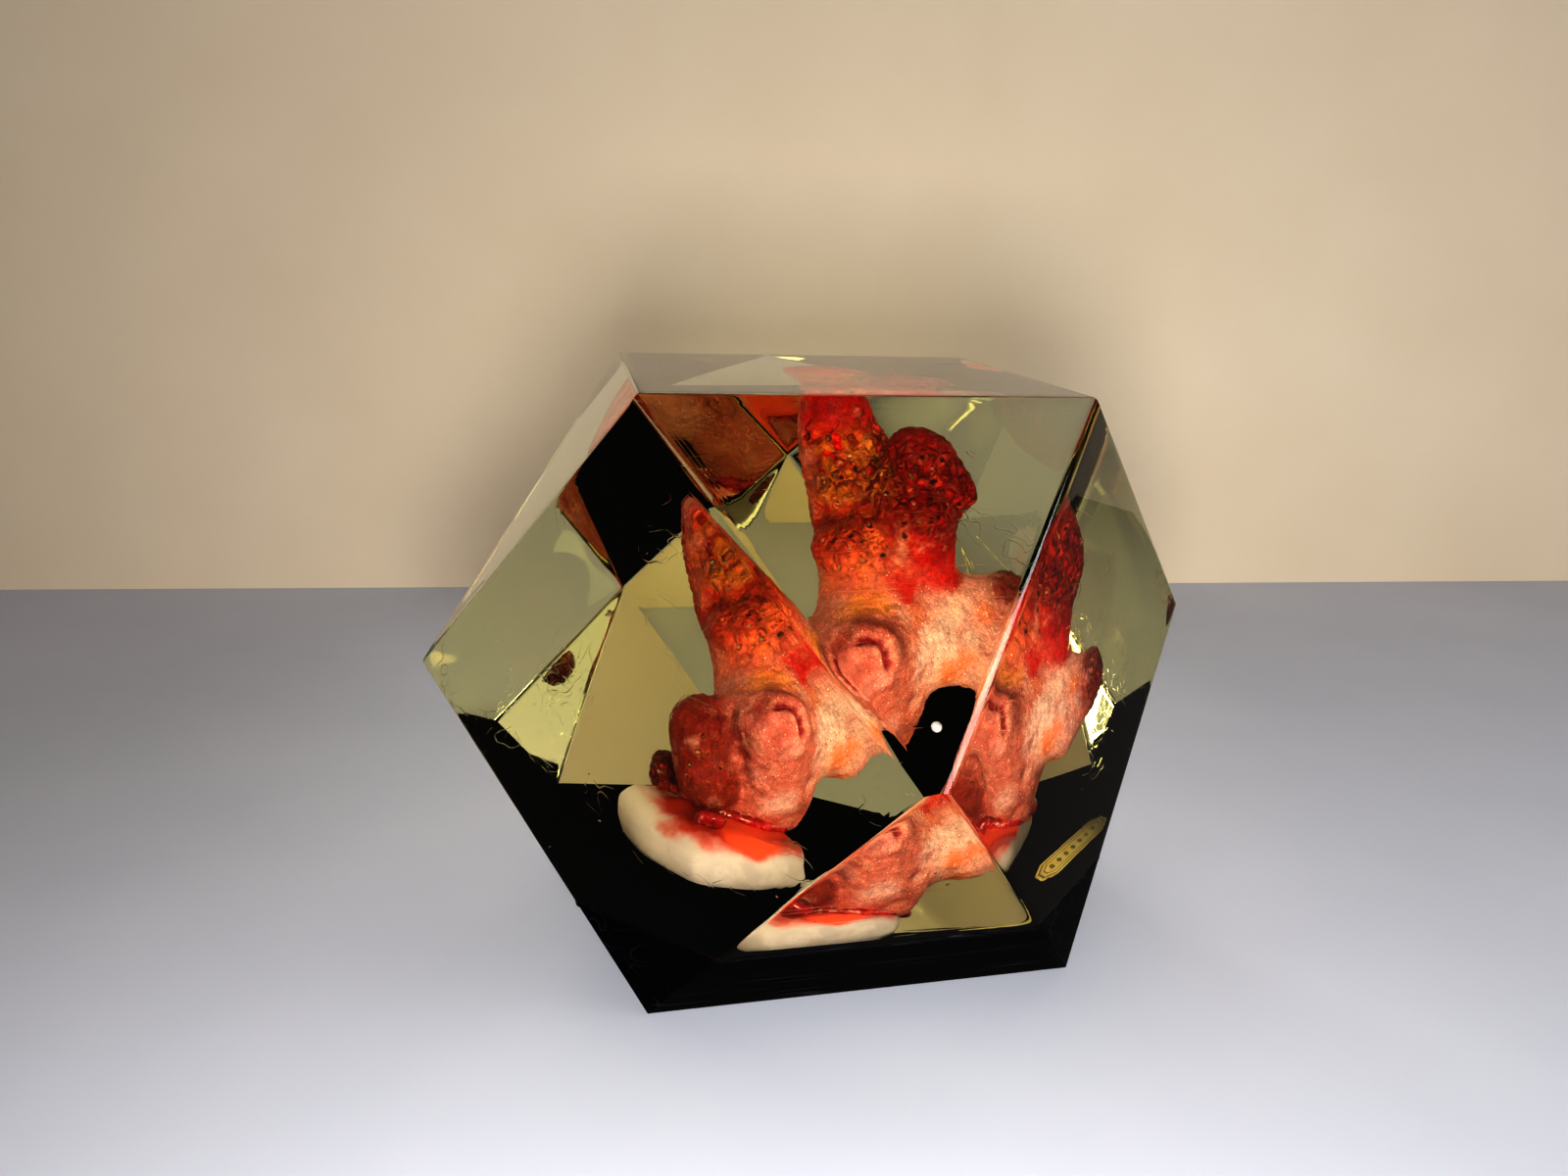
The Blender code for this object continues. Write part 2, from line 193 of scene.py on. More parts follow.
def bumped(tree, height, strength, distance, normal=None):
    ins = {"Height": height, "Strength": strength, "Distance": distance}
    if normal is not None:
        ins["Normal"] = normal
    return node(tree, "Bump", ins).outputs[0]


def newMaterial(name):
    material = bpy.data.materials.new(name)
    material.use_nodes = True
    tree = material.node_tree
    place = node(tree, "TexCoord").outputs["Object"]
    return material, tree, tree.nodes["Principled BSDF"], place


def newGroup(name, inputs, outputs):
    tree = bpy.data.node_groups.new(name, "ShaderNodeTree")
    for label, kind in inputs:
        tree.interface.new_socket(label, in_out="INPUT", socket_type="NodeSocket" + kind)
    for label in outputs:
        tree.interface.new_socket(label, in_out="OUTPUT", socket_type="NodeSocketFloat")
    return tree, tree.nodes.new("NodeGroupInput"), tree.nodes.new("NodeGroupOutput")


scratches = {
    "turns": ((0.3, 0.2, 0.4), (1.1, 0.5, 2.0), (0.2, 1.4, 1.2), (0.9, 2.2, 0.1)),  # radians
    "stretch": (14, 380, 380),
    "thin": (0.014, 0.003),
    "breakScale": 90.0,
    "breakShift": 0.1,
    "threshold": 0.85,
}


def makeHairScratches():
    # long hair-thin scratches in four directions, broken into stretches
    tree, given, result = newGroup("hairScratches", [("Place", "Vector"), ("Share", "Float")], ["Mask"])
    place = given.outputs["Place"]
    threshold = maths(tree, "SUBTRACT", scratches["threshold"], given.outputs["Share"])
    total = 0.0
    for number, turn in enumerate(scratches["turns"]):
        turned = mapped(tree, place, Rotation=turn, Scale=scratches["stretch"])
        lines = noiseAt(tree, turned, 1.0, 1.0, 0.4)
        offset = maths(tree, "ABSOLUTE", maths(tree, "SUBTRACT", lines, 0.5), 0.0)
        moved = mapped(tree, place, Location=(number * scratches["breakShift"], 0, 0))
        kept = ramp(tree, noiseAt(tree, moved, scratches["breakScale"], 1.0), threshold, 0.9)
        total = maths(tree, "MAXIMUM", times(tree, ramp(tree, offset, *scratches["thin"]), kept), total)
    tree.links.new(total, result.inputs["Mask"])
    return tree


def makeSugarGrain():
    # sugary grains: a height, and a mask of the few that sparkle
    inputs = [("Place", "Vector"), ("Size", "Float")]
    tree, given, result = newGroup("sugarGrain", inputs, ["Height", "Sparkle"])
    place = given.outputs["Place"]
    scale = maths(tree, "DIVIDE", 1.0, given.outputs["Size"])
    distance, chance = cellsAt(tree, place, scale)
    dome = maths(tree, "SUBTRACT", 1.0, distance)
    rough = noiseAt(tree, place, times(tree, scale, 2.3))
    height = maths(tree, "ADD", times(tree, dome, 0.6), times(tree, rough, 0.5))
    sparkle = times(tree, ramp(tree, chance[0], 0.8, 0.95), ramp(tree, distance, 0.45, 0.2))
    tree.links.new(height, result.inputs["Height"])
    tree.links.new(sparkle, result.inputs["Sparkle"])
    return tree


hairScratches = makeHairScratches()
sugarGrain = makeSugarGrain()


def withGroup(tree, group, **ins):
    new = tree.nodes.new("ShaderNodeGroup")
    new.node_tree = group
    return wire(tree, new, ins).outputs


# the block: a cube with its corners ground off, clear above a black layer

block = {
    "middle": 32.0,
    "edgeRadius": 0.6,
    "wornEdges": {("frontRight", "upperFront"): 2.0, ("frontLeft", "upperFront"): 2.3},
    "rollRadius": 38.0,  # the hand-polished faces curve slightly towards each edge
    "rollFade": 2.6,
    "edgeTurns": (0.8, 2.0, 3.8, 6.5, 10.5, 16.0, 22.0),  # degrees from each face
    "startCube": 140.0,
    "squares": {
        "bottom": (0, -90, 32.0),
        "top": (0, 88.2, 31.45),
        "frontLeft": (-135, 1.1, 32.0),
        "frontRight": (-43.1, 0, 32.55),
        "backLeft": (135, 0, 32.0),
        "backRight": (45, 0, 32.0),
    },
    "triangles": {
        "upperFront": (-90, 37.46, 36.95),
        "upperLeft": (180, 37.26, 36.35),
        "upperRight": (-1.1, 37.86, 36.95),
        "upperBack": (86.7, 36.16, 36.95),
        "lowerFront": (-89.3, -34.06, 36.95),
        "lowerLeft": (180, -35.26, 36.95),
        "lowerRight": (0, -32.66, 36.95),
        "lowerBack": (90, -35.26, 36.55),
    },
    "neighbours": 0.4,  # a square and a triangle meet at an edge where their cosine is above this
    "softEdge": 25,  # degrees
    "sink": 0.5,  # how far the clear block reaches into the black layer
    "sinkInset": 0.05,  # and how far inside its outline
    # air bubbles: x, y, z, radius
    "bubbles": [
        (10.2, -8.0, 30.5, 0.16), (4.6, -30.6, 21.5, 0.16), (5.3, -30.3, 20.6, 0.13),
        (6.2, -29.7, 19.4, 0.2), (-26.0, -14.0, 24.0, 0.12), (-17.0, 8.0, 11.6, 0.2),
        (24.0, 6.0, 22.0, 0.14), (-6.0, -24.0, 15.0, 0.12),
    ],
}


def groundFace(azimuth, elevation, distance):
    turn = math.radians(azimuth)
    lift = math.radians(elevation)
    outward = Vector((math.cos(lift) * math.cos(turn), math.cos(lift) * math.sin(turn), math.sin(lift)))
    return outward, distance


def edgePlanes(first, second, edgeRadius):
    # planes around the rounded edge between two faces, from the support function of its profile
    (a, da), (b, db) = first, second
    cosine = a.dot(b)
    corner = (a * (da - cosine * db) + b * (db - cosine * da)) / (1 - cosine * cosine)
    whole = a.angle(b)
    fadeTurn = math.radians(block["rollFade"])
    soft = block["rollRadius"] / (1 + 1 / fadeTurn ** 2)
    ends = (edgeRadius + soft * (1 + math.exp(-whole / fadeTurn))) / math.cos(whole / 2)
    near = [math.radians(turn) for turn in block["edgeTurns"]]
    planes = []
    for turn in [*near, whole / 2, *(whole - turn for turn in near)]:
        rolled = soft * (math.exp(-turn / fadeTurn) + math.exp(-(whole - turn) / fadeTurn))
        cutBack = edgeRadius + rolled - ends * math.cos(turn - whole / 2)
        outward = a.slerp(b, turn / whole)
        planes.append((outward, corner.dot(outward) + cutBack))
    return planes


def groundBlock(name):
    squares = {side: groundFace(*face) for side, face in block["squares"].items()}
    triangles = {side: groundFace(*face) for side, face in block["triangles"].items()}
    planes = [*squares.values(), *triangles.values()]
    for squareSide, square in squares.items():
        for triangleSide, triangle in triangles.items():
            if square[0].dot(triangle[0]) > block["neighbours"]:
                edgeRadius = block["wornEdges"].get((squareSide, triangleSide), block["edgeRadius"])
                planes += edgePlanes(square, triangle, edgeRadius)
    centre = spot(0, 0, block["middle"])
    bpy.ops.object.select_all(action="DESELECT")
    bpy.ops.mesh.primitive_cube_add(size=block["startCube"] * mm, location=centre)
    piece = joined([bpy.context.active_object], name)
    bpy.ops.object.mode_set(mode="EDIT")
    for outward, distance in planes:
        cutAway(centre + outward * distance * mm, outward)
    return piece


def faceted(piece):
    # smooth rounded edges beside flat faces
    bpy.ops.object.mode_set(mode="OBJECT")
    only(piece)
    bpy.ops.object.shade_smooth_by_angle(angle=math.radians(block["softEdge"]))
    modify(piece, "WEIGHTED_NORMAL", weight=100, keep_sharp=True)


def pickFaces(piece, wanted):
    # in edit mode: selects the faces that the test wants
    bpy.ops.mesh.select_all(action="DESELECT")
    bpy.ops.object.mode_set(mode="OBJECT")
    for face in piece.data.polygons:
        face.select = wanted(face)
    bpy.ops.object.mode_set(mode="EDIT")
    bpy.ops.mesh.select_mode(type="FACE")


def makeBubble(x, y, z, radius):
    # a hollow, so its faces point inwards
    bpy.ops.object.select_all(action="DESELECT")
    bpy.ops.mesh.primitive_uv_sphere_add(
        segments=24, ring_count=12, radius=radius * mm, location=spot(x, y, z))
    bpy.ops.object.mode_set(mode="EDIT")
    bpy.ops.mesh.flip_normals()
    bpy.ops.object.mode_set(mode="OBJECT")
    bpy.ops.object.shade_smooth()
    return bpy.context.active_object


def makeClearBlock():
    piece = groundBlock("clear_block")
    cutAway((0, 0, blackTop), (0, 0, -1))
    pickFaces(piece, lambda face: face.normal.z < -0.99 and face.center.z < blackTop + mm)
    bpy.ops.mesh.inset(thickness=block["sinkInset"] * mm)
    bpy.ops.mesh.extrude_region_move(TRANSFORM_OT_translate={"value": (0, 0, -block["sink"] * mm)})
    faceted(piece)
    hollows = [makeBubble(*bubble) for bubble in block["bubbles"]]
    return joined([piece, *hollows], "clear_block")


def makeBlackLayer():
    piece = groundBlock("black_layer")
    cutAway((0, 0, blackTop), (0, 0, 1))
    faceted(piece)
    return piece


resin = {
    "ior": 1.546,
    "absorption": (0.81, 0.74, 0.08, 1),
    "density": 13.0,
    "lightIn": 0.45,  # the rest of the light comes in by refraction
    "lightOut": 0.1,
    "scratchShare": 0.32,
    "scratchDepth": 0.02,
    "waveHeight": 0.012,
}

blackResin = {
    "dark": (2, 2, 4),
    "cloud": (7, 7, 10),
    "scratch": (46, 46, 52),
    "scratchShare": 0.36,
    "sealedCloud": (8, 8, 12),  # where clear resin wets the layer's top
    "mote": (150, 146, 132),
    "moteScale": 420.0,
}


def clearResinMaterial():
    material, tree, shader, place = newMaterial("clearResin")
    marks = withGroup(tree, hairScratches, Place=place, Share=resin["scratchShare"])["Mask"]
    haze = ramp(tree, noiseAt(tree, place, 60.0, 3.0), 0.5, 0.8, 0.0, 0.03)
    wavy = bumped(tree, noiseAt(tree, place, 110.0, 1.0), 0.25, resin["waveHeight"] * mm)
    wire(tree, shader, {
        "Base Color": (1, 1, 1, 1),
        "Transmission Weight": 1.0,
        "IOR": resin["ior"],
        "Roughness": maths(tree, "ADD", times(tree, marks, 0.35), haze),
        "Normal": bumped(tree, marks, 0.6, resin["scratchDepth"] * mm, wavy),
    })
    inside = node(tree, "NewGeometry").outputs["Backfacing"]
    lit = mixed(tree, inside, (resin["lightOut"],) * 3 + (1,), (resin["lightIn"],) * 3 + (1,))
    through = node(tree, "BsdfTransparent", {"Color": lit})
    shadowRay = node(tree, "LightPath").outputs["Is Shadow Ray"]
    surface = node(tree, "MixShader", {0: shadowRay, 1: shader.outputs[0], 2: through.outputs[0]})
    tint = node(tree, "VolumeAbsorption", {"Color": resin["absorption"], "Density": resin["density"]})
    wire(tree, tree.nodes["Material Output"], {"Surface": surface.outputs[0], "Volume": tint.outputs[0]})
    return material


def blackResinMaterial():
    material, tree, shader, place = newMaterial("blackResin")
    marks = withGroup(tree, hairScratches, Place=place, Share=blackResin["scratchShare"])["Mask"]
    cloudy = noiseAt(tree, place, 70.0, 3.0)
    tone = mixed(tree, cloudy, paint(*blackResin["dark"]), paint(*blackResin["cloud"]))
    hazy = ramp(tree, cloudy, 0.4, 0.8, 0.06, 0.16)
    wire(tree, shader, {
        "Base Color": tinted(tree, tone, blackResin["scratch"], marks),
        "Roughness": maths(tree, "ADD", times(tree, marks, 0.3), hazy),
        "IOR": 1.5,
        "Specular IOR Level": 0.06,
        "Normal": bumped(tree, marks, 0.5, resin["scratchDepth"] * mm),
    })
    return material


def sealedBlackMaterial():
    # the layer's top, which clear resin wets, so it has no gloss of its own
    material, tree, shader, place = newMaterial("sealedBlack")
    distance, chance = cellsAt(tree, place, blackResin["moteScale"])
    cloudy = noiseAt(tree, place, 90.0, 3.0)
    tone = mixed(tree, cloudy, paint(*blackResin["dark"]), paint(*blackResin["sealedCloud"]))
    motes = times(tree, ramp(tree, chance[0], 0.9, 0.97), ramp(tree, distance, 0.09, 0.04))
    wire(tree, shader, {
        "Base Color": tinted(tree, tone, blackResin["mote"], motes),
        "Roughness": 0.5,
        "Specular IOR Level": 0.0,
    })
    return material


clearBlock = makeClearBlock()
blackLayer = makeBlackLayer()
clearBlock.data.materials.append(clearResinMaterial())
blackLayer.data.materials.append(blackResinMaterial())
blackLayer.data.materials.append(sealedBlackMaterial())
for face in blackLayer.data.polygons:
    if face.normal.z > 0.99 and face.center.z > blackTop - mm:
        face.material_index = 1
print("block cut:", len(clearBlock.data.polygons), "and", len(blackLayer.data.polygons), "faces")


# grown forms: balls joined in chains, fused and smoothed

def roundCone(start, end):
    balls = []
    for x, y, z, radius in (start, end):
        bpy.ops.object.select_all(action="DESELECT")
        bpy.ops.mesh.primitive_ico_sphere_add(subdivisions=3, radius=radius * mm, location=spot(x, y, z))
        balls.append(bpy.context.active_object)
    cone = joined(balls, "cone")
    bpy.ops.object.mode_set(mode="EDIT")
    bpy.ops.mesh.select_all(action="SELECT")
    bpy.ops.mesh.convex_hull()
    bpy.ops.object.mode_set(mode="OBJECT")
    return cone


def grown(name, chains, form):
    # twice made one skin and smoothed: coarsely to fuse the cones, then finely for the detail
    cones = [roundCone(a, b) for chain in chains for a, b in zip(chain, chain[1:])]
    piece = joined(cones, name)
    for grid, rounds in (("coarse", "settle"), ("fine", "polish")):
        modify(piece, "REMESH", mode="VOXEL", voxel_size=form[grid] * mm)
        modify(piece, "SMOOTH", factor=0.5, iterations=form[rounds])
    return piece


def trimmed(piece, point, outward):
    only(piece)
    bpy.ops.object.mode_set(mode="EDIT")
    cutAway(point, outward)
    bpy.ops.object.mode_set(mode="OBJECT")


def readPlaces(piece):
    # vertex places in mm from the block's foot, and normals
    count = len(piece.data.vertices)
    places = np.zeros(count * 3, np.float32)
    normals = np.zeros(count * 3, np.float32)
    piece.data.vertices.foreach_get("co", places)
    piece.data.vertices.foreach_get("normal", normals)
    places = (places.reshape(-1, 3) - np.array(blockFoot)) / mm
    return places, normals.reshape(-1, 3)


def writePlaces(piece, places):
    metres = places * mm + np.array(blockFoot)
    piece.data.vertices.foreach_set("co", metres.astype(np.float32).ravel())
    piece.data.update()


def fade(distance, reach):
    # 1 at the middle, 0 at the reach and beyond
    share = np.clip(1 - distance / reach, 0, 1)
    return share * share * (3 - 2 * share)


def distances(places, point):
    return np.linalg.norm(places - np.array(point), axis=1)


def nearness(places, x, y, z, reach):
    return fade(distances(places, (x, y, z)), reach)


def onSurface(places, x, y, z):
    # the vertex nearest to a place
    return places[np.argmin(distances(places, (x, y, z)))]


def offLine(places, line):
    # the distance of each place from a bent line
    distance = np.full(len(places), np.inf)
    for start, end in zip(line, line[1:]):
        run = end - start
        share = np.clip((places - start) @ run / (run @ run), 0, 1)
        distance = np.minimum(distance, np.linalg.norm(places - start - share[:, None] * run, axis=1))
    return distance


def finished(piece, *materials):
    # takes off what joining left and puts the materials on
    piece.data.materials.clear()
    for material in materials:
        piece.data.materials.append(material)
    return piece


def keepMask(piece, name, values):
    layer = piece.data.attributes.new(name, "FLOAT", "POINT")
    layer.data.foreach_set("value", values.astype(np.float32))


def keepPaint(piece, name, colours):
    layer = piece.data.color_attributes.new(name, "FLOAT_COLOR", "POINT")
    layer.data.foreach_set("color", colours.astype(np.float32).ravel())


coral = {
    # stations of each limb: x, y, z, radius
    "limbs": {
        "rootLeft": [(-1.5, 4.6, 16.0, 4.6), (0.5, 3.0, 20.5, 5.6)],
        "rootRight": [(3.0, 2.6, 16.6, 4.2), (3.0, 2.2, 20.5, 6.0), (4.0, 1.6, 26.6, 6.1)],
        "rootCorner": [(6.1, -0.2, 16.0, 1.9), (5.4, -1.6, 20.6, 3.2)],
        "shoulder": [(4.0, 1.6, 26.6, 6.0), (4.6, 6.0, 32.0, 5.4)],
        "eyeStub": [(2.5, -0.8, 25.4, 6.3), (1.25, -6.7, 27.9, 3.8)],
        "underStub": [(1.4, -4.6, 26.0, 3.9), (3.4, -1.4, 20.6, 4.6)],
        "leftNub": [(-2.5, 5.5, 17.0, 3.2), (-7.5, 7.2, 18.2, 2.4)],
        "lowerLobe": [(4.0, 6.2, 32.6, 5.2), (3.8, 6.6, 34.6, 5.4)],
        "tallBranch": [(3.9, 11.0, 36.5, 4.9), (3.4, 14.4, 42.0, 4.9), (1.9, 13.9, 48.0, 4.1)],
        "knobbedBranch": [
            (9.4, 5.6, 33.0, 4.0), (9.2, 5.2, 38.6, 4.5), (11.0, 6.8, 42.4, 4.6), (9.9, 6.8, 45.8, 3.4)],
        "armTop": [(8.5, 3.2, 27.2, 4.0), (17.0, 5.0, 28.0, 2.9)],
        "armBelly": [(8.5, 0.4, 25.0, 4.2), (13.0, 1.8, 23.6, 3.9), (17.0, 3.4, 25.4, 2.8)],
        "armKnob": [(17.0, 4.4, 27.0, 2.6), (19.9, 5.0, 28.6, 2.5), (19.4, 5.0, 26.2, 2.3)],
        "leftKnob": [(-5.0, -1.0, 20.4, 3.8), (-5.7, -0.7, 25.6, 4.0)],
    },
    "coarse": 1.22,
    "settle": 5,
    "fine": 0.25,
    "polish": 4,
    "swell": 0.45,  # gives back what the smoothing takes
    # the crescent groove on the stub, its reach and depth
    "groove": [
        (0.4, -9.4, 31.1), (1.4, -9.5, 31.6), (2.4, -9.6, 31.4), (3.2, -9.9, 30.7), (3.7, -10.3, 29.8),
        (4.0, -10.5, 28.9), (4.1, -10.6, 28.1),
    ],
    "grooveReach": 0.85,
    "grooveDepth": 0.6,
    "stubFace": ((0.4, -10.0, 28.0), (-0.12, -0.94, 0.3)),
    "stubSquash": 0.3,
    # pressed places: x, y, z, reach, depth; a negative depth is a bump
    "dents": [
        (-1.7, -8.0, 30.8, 2.2, 0.6), (1.0, -7.6, 32.6, 2.0, -0.15), (3.2, -7.8, 31.9, 2.0, -0.3),
        (4.7, -8.6, 30.2, 1.9, -0.3), (4.8, -9.3, 28.4, 1.6, -0.2), (-0.3, -10.8, 27.4, 1.3, 0.3),
        (6.4, -4.4, 20.4, 1.9, 0.5), (6.0, -5.0, 30.8, 2.2, 0.3), (6.6, -5.8, 28.2, 1.9, 0.3),
        (-1.2, 8.6, 38.8, 2.6, 1.5), (1.2, 6.2, 39.8, 2.3, 1.3), (3.8, 4.4, 41.0, 2.1, 1.0),
        (-1.5, 4.6, 36.2, 2.8, -1.0), (14.8, 4.6, 41.8, 2.8, -0.8), (12.8, 5.0, 47.4, 2.4, -0.5),
        (8.2, 3.0, 47.0, 2.2, -0.5), (6.0, 4.4, 46.6, 2.0, 0.5), (-7.6, -3.4, 24.8, 2.4, -0.4),
        (-5.0, -4.6, 27.6, 2.2, -0.4), (-1.9, -4.6, 24.4, 2.2, 0.7), (-1.7, -4.8, 21.8, 2.2, 0.7),
        (-1.7, -4.8, 19.4, 1.8, 0.9), (-2.2, -3.2, 27.6, 2.4, 0.8), (-5.8, -4.6, 21.8, 2.2, -0.3),
        (1.7, 0.8, 33.4, 0.8, -0.45), (3.9, -0.9, 32.5, 0.6, 0.3), (4.8, -0.5, 31.6, 0.9, -0.2),
        (9.1, 0.8, 40.2, 0.7, -0.3), (11.1, 3.2, 39.3, 0.7, -0.25), (1.8, 10.3, 42.3, 0.7, -0.35),
        (0.8, 9.2, 39.8, 0.7, -0.35), (-0.4, 2.5, 37.8, 0.6, -0.3), (8.8, -3.9, 26.5, 1.6, -0.2),
        (6.2, 3.6, 42.6, 2.0, 0.7), (15.2, -0.6, 27.2, 1.5, 0.35), (5.0, -2.6, 16.8, 1.6, 0.4),
    ],
    # places without pits, then single pits: x, y, z, reach
    "smooth": [
        (-2.8, 12.4, 43.6, 4.4), (-2.4, 14.0, 48.0, 3.8), (-1.8, 11.6, 40.2, 3.2), (-2.0, 6.0, 33.0, 3.6),
        (-1.3, 10.9, 44.8, 1.8), (-1.1, 9.6, 42.0, 1.5), (1.2, 10.8, 50.2, 2.6),
    ],
    "openings": [
        (-0.6, 9.5, 42.5, 0.54), (1.5, 8.4, 43.0, 0.50), (-0.2, 3.1, 37.6, 0.54),
        (0.5, 7.2, 40.9, 0.43), (3.6, 2.3, 39.8, 0.50), (4.9, -0.1, 36.6, 0.54), (2.8, 0.0, 36.1, 0.50),
        (-0.5, 1.4, 34.8, 0.50), (10.9, 2.0, 44.3, 0.50), (9.8, 3.5, 46.8, 0.43),
        (7.0, 0.6, 40.0, 0.50), (9.1, 0.1, 40.5, 0.47), (10.3, 0.1, 40.5, 0.43), (7.1, 0.1, 38.3, 0.54),
        (12.1, 3.4, 46.4, 0.43), (13.6, 2.6, 40.6, 0.43), (1.9, 4.6, 40.5, 0.43),
        (6.8, 4.7, 45.0, 0.43), (0.6, 10.1, 47.5, 0.50), (3.1, 8.9, 44.8, 0.50),
        (-8.0, -3.7, 25.7, 0.28), (-7.0, -4.3, 25.9, 0.36), (-5.6, -4.7, 26.2, 0.3),
        (-4.6, -5.1, 25.4, 0.3), (-7.5, -3.9, 24.1, 0.36), (-6.6, -4.4, 24.1, 0.42),
        (-8.3, -3.2, 22.4, 0.3), (-5.0, -5.1, 22.7, 0.3), (-6.5, -4.6, 20.9, 0.34),
        (-3.8, -5.3, 21.7, 0.4), (-8.5, -2.9, 21.0, 0.3),
    ],
    "openingDepth": 0.35,
    "openingRim": 0.2,
    "raggedSpacing": 0.7,
    "raggedHeight": 0.3,
    # the plane between coral and foot, and how far below it the coral ends
    "breakPoint": (2.0, 1.0, 15.7),
    "breakTilt": (0.2, 0, 1),
    "endsBelow": 0.6,
    # place and reach of each pitted knob, and of the cobbled crust
    "pitted": [
        (2.4, 14.0, 43.5, 9.5), (10.6, 6.4, 42.0, 8.5), (3.8, 5.5, 35.0, 6.5), (19.6, 5.0, 27.4, 4.5),
        (-7.0, 7.0, 18.0, 4.0),
    ],
    "crust": (2.0, 9.0, 42.0, 9.0),
    "lumpSpacing": 3.4,
    "lumpHeight": 0.6,
    "cobbleSpacing": 1.35,
    "cobbleHeight": 0.34,
    "pitSpacing": 1.5,
    "pitRadius": 0.5,
    "pitDepth": 0.6,
    "grainSpacing": 0.62,
    "grainHeight": 0.15,
}

